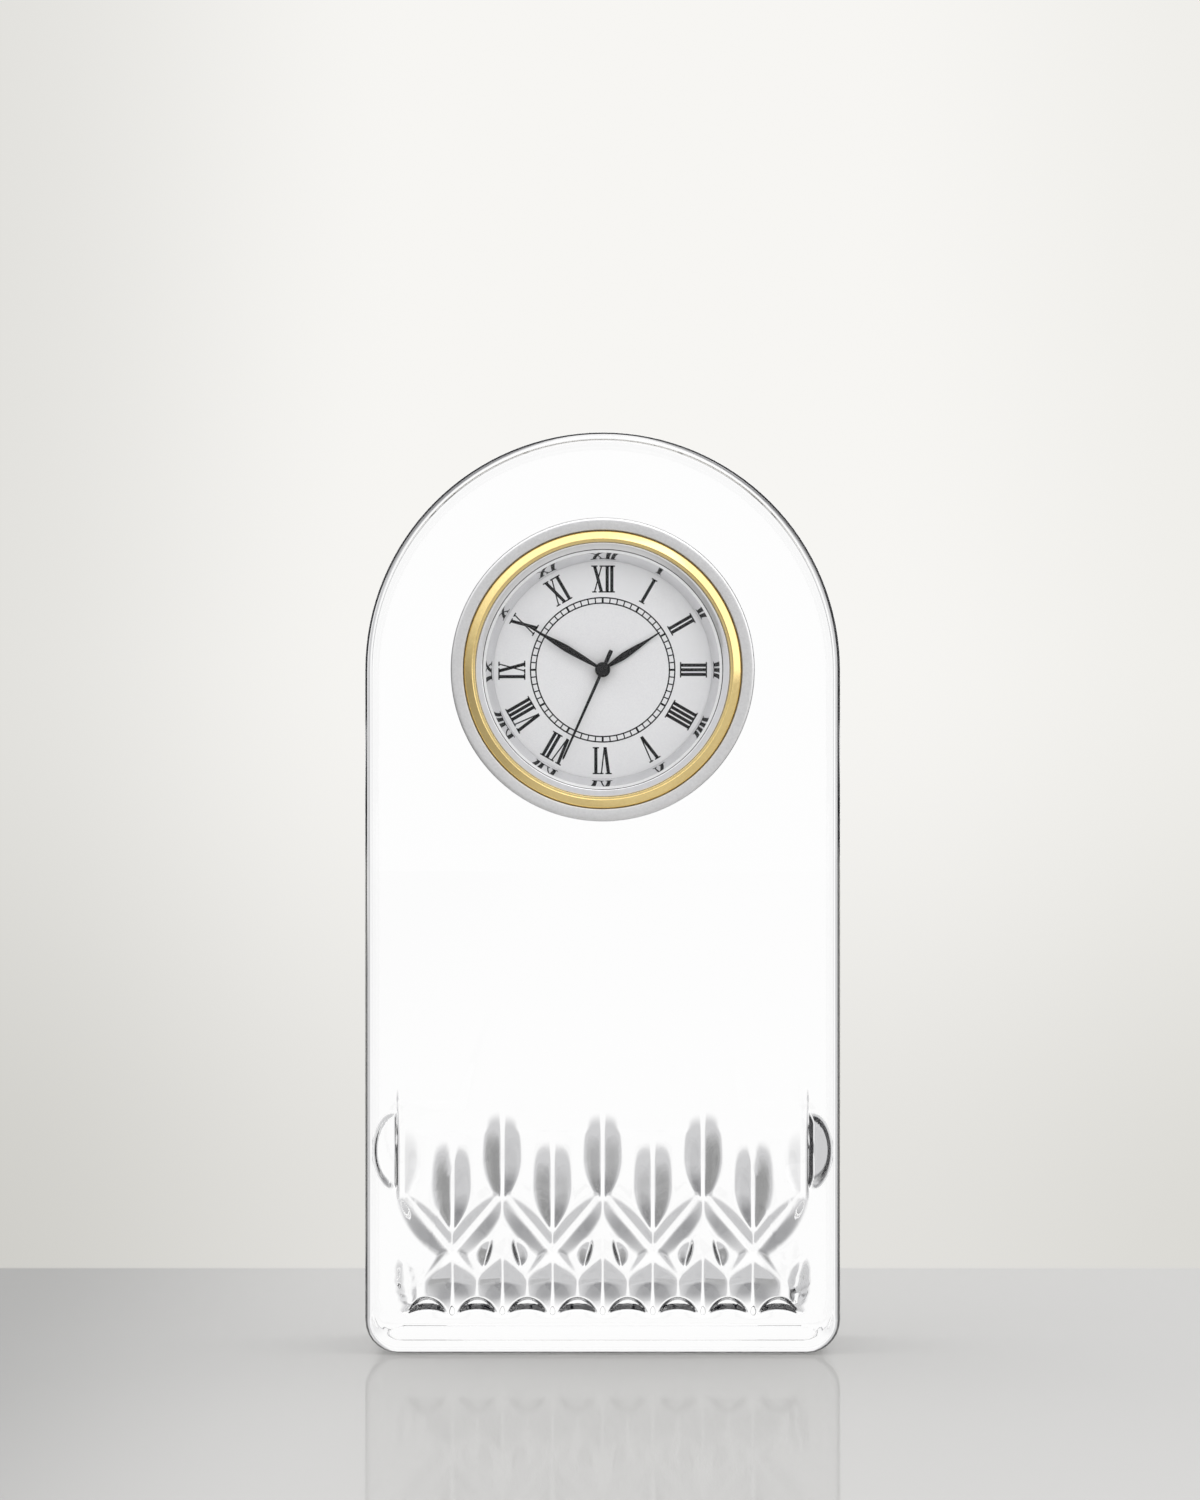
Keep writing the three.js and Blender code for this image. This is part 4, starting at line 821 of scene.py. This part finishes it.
# The stage, in mm: the camera's eye and view, and the line where the floor meets the wall's tone
stageSizes = {
    "eye": (-0.45, -1018, 101.5), "viewHeight": 252, "viewDistance": 1000, "sensor": 36,
    "wallLine": 150, "lineBlur": 2, "floorReach": 4000, "below": 0.15,
}


def mathNode(tree, operation, first, second=0.0):
    return node(tree, "Math", {0: first, 1: second}, operation=operation).outputs[0]


def addition(tree, first, second):
    return mathNode(tree, "ADD", first, second)


def product(tree, first, *others):
    for value in others:
        first = mathNode(tree, "MULTIPLY", first, value)
    return first


def mixColour(tree, share, first, second, blend="MIX"):
    made = node(tree, "Mix", data_type="RGBA", blend_type=blend)
    for key, value in ((0, share), (6, first), (7, second)):
        feed(tree, made.inputs[key], value)
    return made.outputs[2]


# The three parts of a place on an object or, with "Generated" in the world, of a ray's direction
def partsOf(tree, kind):
    place = node(tree, "TexCoord").outputs[kind]
    return list(node(tree, "SeparateXYZ", {0: place}).outputs)


def inMetres(*lengths):
    return tuple(length * mm for length in lengths)


# The wall's tones in linear light, and the slopes across and up over which each gives way
wallTones = {
    "low": (0.76, 0.75, 0.72), "high": (0.93, 0.92, 0.895), "rise": (-0.09, 0.02), "full": (1, 1, 1),
    "left": (0.82, 0.82, 0.81), "leftFade": (-0.11, -0.03),
    "right": (0.93, 0.93, 0.92), "rightFade": (0.04, 0.11),
}


# The wall's tone as seen by the camera, with painted shade: darker low down, and a little darker at either
# side
def wallTone(tree, across, up, w=wallTones):
    base = mixColour(tree, smoothStep(tree, up, w["rise"]), w["low"], w["high"])
    left = mixColour(tree, smoothStep(tree, across, w["leftFade"]), w["left"], w["full"])
    right = mixColour(tree, smoothStep(tree, across, w["rightFade"], (1, 0)), w["right"], w["full"])
    return mixColour(tree, 1, mixColour(tree, 1, base, left, "MULTIPLY"), right, "MULTIPLY")


# What glass shows where a ray leaves it towards the back, by its slopes across and up for each unit
# away: white where it is hardly bent, grey where it is bent a little sideways, dark where it is
# bent far, and white again beyond. The limits of dark lie elsewhere for a ray bent up or down.
behindGlass = {
    "least": 0.02, "backward": (0.0, 0.04), "white": (1.0, 1.0, 1.0), "bent": (0, 0.8),
    "greyStart": (0.08, 0.26), "greyEnd": (0.5, 0.62), "grey": (0.6, 0.6, 0.61),
    "deepSlope": (-0.3, -0.12), "deepGrey": (0.29, 0.29, 0.3),
    "darkStart": (0.6, 0.76), "startScale": (0.75, 1), "lean": 0.12,
    "darkEnd": (6, 11), "endScale": (2.2, 1), "dark": (0.012, 0.012, 0.015),
    "downward": (-0.9, -0.6), "downGrey": (0.6, 0.6, 0.61),
}


def glassTone(tree, y, across, up, steep, b=behindGlass):
    level = mathNode(tree, "ABSOLUTE", across)
    sideShare = mathNode(tree, "DIVIDE", level, steep)
    held = mathNode(tree, "MAXIMUM", mathNode(tree, "MINIMUM", across, 1.0), -1.0)
    startSlope = product(tree, steep, smoothStep(tree, sideShare, b["bent"], b["startScale"]))
    startSlope = mathNode(tree, "SUBTRACT", startSlope, product(tree, held, b["lean"]))
    endSlope = product(tree, steep, smoothStep(tree, sideShare, b["bent"], b["endScale"]))
    back = smoothStep(tree, y, b["backward"])
    isDark = product(tree, smoothStep(tree, startSlope, b["darkStart"]),
                     smoothStep(tree, endSlope, b["darkEnd"], (1, 0)), back)
    isGrey = product(tree, smoothStep(tree, level, b["greyStart"]),
                     smoothStep(tree, level, b["greyEnd"], (1, 0)), back)
    isDown = smoothStep(tree, mathNode(tree, "DIVIDE", up, steep), b["downward"], (1, 0))
    grey = mixColour(tree, smoothStep(tree, up, b["deepSlope"], (1, 0)), b["grey"], b["deepGrey"])
    dark = mixColour(tree, isDown, b["dark"], b["downGrey"])
    return mixColour(tree, isDark, mixColour(tree, isGrey, b["white"], grey), dark)


# What metal and the glass's surface mirror, by the parts of the ray's direction: brighter up and to
# the right, a grey room straight in front, a dull spot in it up to the right, and near black where
# a ray grazes the object from behind
mirroredRoom = {
    "lit": (0.35, 0.5), "litRange": (-0.45, 0.25), "dim": (0.3, 0.3, 0.31), "bright": (1.6, 1.6, 1.6),
    "front": (0.9, 0.97), "room": (0.7, 0.7, 0.71),
    "spot": (0.4, -0.77, 0.49), "spotRange": (0.955, 0.985), "spotTone": (0.72, 0.7, 0.66),
    "grazeBack": (-0.3, 0.1), "grazeSlope": (0.26, 0.4), "grazeTone": (0.03, 0.03, 0.03),
}


def mirrorTone(tree, x, y, z, steep, m=mirroredRoom):
    lit = addition(tree, product(tree, x, m["lit"][0]), product(tree, z, m["lit"][1]))
    tone = mixColour(tree, smoothStep(tree, lit, m["litRange"]), m["dim"], m["bright"])
    front = smoothStep(tree, product(tree, y, -1.0), m["front"])
    tone = mixColour(tree, front, tone, m["room"])
    spot = addition(tree, product(tree, x, m["spot"][0]), product(tree, z, m["spot"][2]))
    spot = addition(tree, spot, product(tree, y, m["spot"][1]))
    tone = mixColour(tree, smoothStep(tree, spot, m["spotRange"]), tone, m["spotTone"])
    grazing = product(tree, smoothStep(tree, y, m["grazeBack"]), smoothStep(tree, steep, m["grazeSlope"]))
    return mixColour(tree, grazing, tone, m["grazeTone"])


# The studio round the object: one tone for the camera, one for mirrored rays and one for rays that
# come out of glass. All else sees an even white.
evenWhite = (0.97, 0.97, 0.97)
world = bpy.data.worlds.new("studio")
bpy.context.scene.world = world
world.use_nodes = True
tree = world.node_tree
tree.nodes.clear()
x, y, z = partsOf(tree, "Generated")
ahead = mathNode(tree, "MAXIMUM", mathNode(tree, "ABSOLUTE", y), behindGlass["least"])
across, up = mathNode(tree, "DIVIDE", x, ahead), mathNode(tree, "DIVIDE", z, ahead)
squares = addition(tree, mathNode(tree, "POWER", across, 2.0), mathNode(tree, "POWER", up, 2.0))
steep = mathNode(tree, "SQRT", squares)
tone = mixColour(tree, rayIs(tree, "Camera"), evenWhite, wallTone(tree, across, up))
tone = mixColour(tree, rayIs(tree, "Glossy"), tone, mirrorTone(tree, x, y, z, steep))
tone = mixColour(tree, rayIs(tree, "Transmission"), tone, glassTone(tree, y, across, up, steep))
background = node(tree, "Background", {"Color": tone})
node(tree, "OutputWorld", {"Surface": background.outputs[0]})

# The floor is grey paper with a faint sheen up to the wall line, painted darker to the left as shade; beyond
# it, it glows with the wall's tone and that tone's painted shade. Rays that come out of glass pass it.
floorPaper = {
    "left": (0.38, 0.377, 0.371), "right": (0.595, 0.59, 0.58), "shadeFade": (-0.12, -0.04),
    "sheen": 0.1, "sheenTone": (0.9, 0.9, 0.9), "rough": 0.06,
}
floorMaterial, tree = nodeTree("floorPaper")
floorX, floorY = partsOf(tree, "Object")[:2]
# Painted shade: the paper's colour is darker to the left, where less light falls
tone = mixColour(tree, smoothStep(tree, floorX, floorPaper["shadeFade"]), floorPaper["left"], floorPaper["right"])
paper = node(tree, "BsdfDiffuse", {"Color": tone}).outputs[0]
sheen = node(tree, "BsdfGlossy", {"Roughness": floorPaper["rough"], "Color": floorPaper["sheenTone"]})
shiny = mixShader(tree, floorPaper["sheen"], paper, sheen.outputs[0])
eyeX, eyeY, eyeZ = inMetres(*stageSizes["eye"])
distance = addition(tree, floorY, -eyeY)
wallAcross, wallUp = mathNode(tree, "DIVIDE", floorX, distance), mathNode(tree, "DIVIDE", -eyeZ, distance)
farAway = node(tree, "Emission", {"Color": wallTone(tree, wallAcross, wallUp)}).outputs[0]
wallLine, blur = inMetres(stageSizes["wallLine"], stageSizes["lineBlur"])
sheet = mixShader(tree, smoothStep(tree, floorY, (wallLine - blur, wallLine + blur)), shiny, farAway)
clear = node(tree, "BsdfTransparent").outputs[0]
node(tree, "OutputMaterial", {"Surface": mixShader(tree, rayIs(tree, "Transmission"), sheet, clear)})


# A flat sheet, half the width to each side: near and far are the depth and height of its two edges
def flatSheet(name, near, far, half):
    corners = [[[-half, *near], [half, *near]], [[-half, *far], [half, *far]]]
    return gridMesh(name, np.array(corners, float), closeRows=False, closeColumns=False)


reach, below = stageSizes["floorReach"], stageSizes["below"]
floorSheet = sceneObject("floorSheet", flatSheet("floorSheet", (-reach, -below), (reach, -below), reach))
floorSheet.data.materials.append(floorMaterial)

# Grey cards stand low behind and before the object, left and right of a clear middle, and reach
# below the floor. Only rays that come out of glass meet them, and they shade the walls of the cuts.
cards = {
    "behind": 300, "halfWidth": 200, "sideFade": 30, "top": 50, "topFade": 20, "low": -260, "lowFade": 40,
    "clear": 105, "full": 170, "tone": (0.3, 0.3, 0.3),
}
cardMaterial, tree = nodeTree("greyCard")
cardX, cardZ = partsOf(tree, "Object")[::2]
cardX = mathNode(tree, "ABSOLUTE", cardX)
cardTop, cardLow, cardHalf = cards["top"] + cards["topFade"], cards["low"], cards["halfWidth"]
share = product(
    tree, smoothStep(tree, cardX, inMetres(cards["clear"], cards["full"])),
    smoothStep(tree, cardZ, inMetres(cards["top"], cardTop), (1, 0)),
    smoothStep(tree, cardX, inMetres(cardHalf - cards["sideFade"], cardHalf), (1, 0)),
    smoothStep(tree, cardZ, inMetres(cardLow, cardLow + cards["lowFade"])), rayIs(tree, "Transmission"),
)
clear = node(tree, "BsdfTransparent").outputs[0]
grey = node(tree, "Emission", {"Color": cards["tone"]}).outputs[0]
node(tree, "OutputMaterial", {"Surface": mixShader(tree, share, clear, grey)})
for name, depth in (("cardBehind", cards["behind"]), ("cardBefore", -cards["behind"])):
    card = sceneObject(name, flatSheet(name, (depth, cardLow), (depth, cardTop), cardHalf))
    card.data.materials.append(cardMaterial)

# A square lamp in front, up to the right: watts, metres and degrees
softBox = {"power": 1.6, "size": 0.7, "place": (0.35, -0.8, 0.9), "pitch": 45, "turn": 23}
lamp = bpy.data.lights.new("softBox", "AREA")
lamp.energy = softBox["power"]
lamp.size = softBox["size"]
lampObject = sceneObject("softBox", lamp)
lampObject.location = softBox["place"]
lampObject.rotation_euler = (np.radians(softBox["pitch"]), 0, np.radians(softBox["turn"]))

camera = bpy.data.cameras.new("camera")
camera.sensor_width = stageSizes["sensor"]
camera.lens = stageSizes["sensor"] * stageSizes["viewDistance"] / stageSizes["viewHeight"]
cameraObject = sceneObject("camera", camera)
cameraObject.location = (eyeX, eyeY, eyeZ)
cameraObject.rotation_euler = (np.pi / 2, 0, 0)
bpy.context.scene.camera = cameraObject
bpy.context.scene.view_settings.view_transform = "Standard"
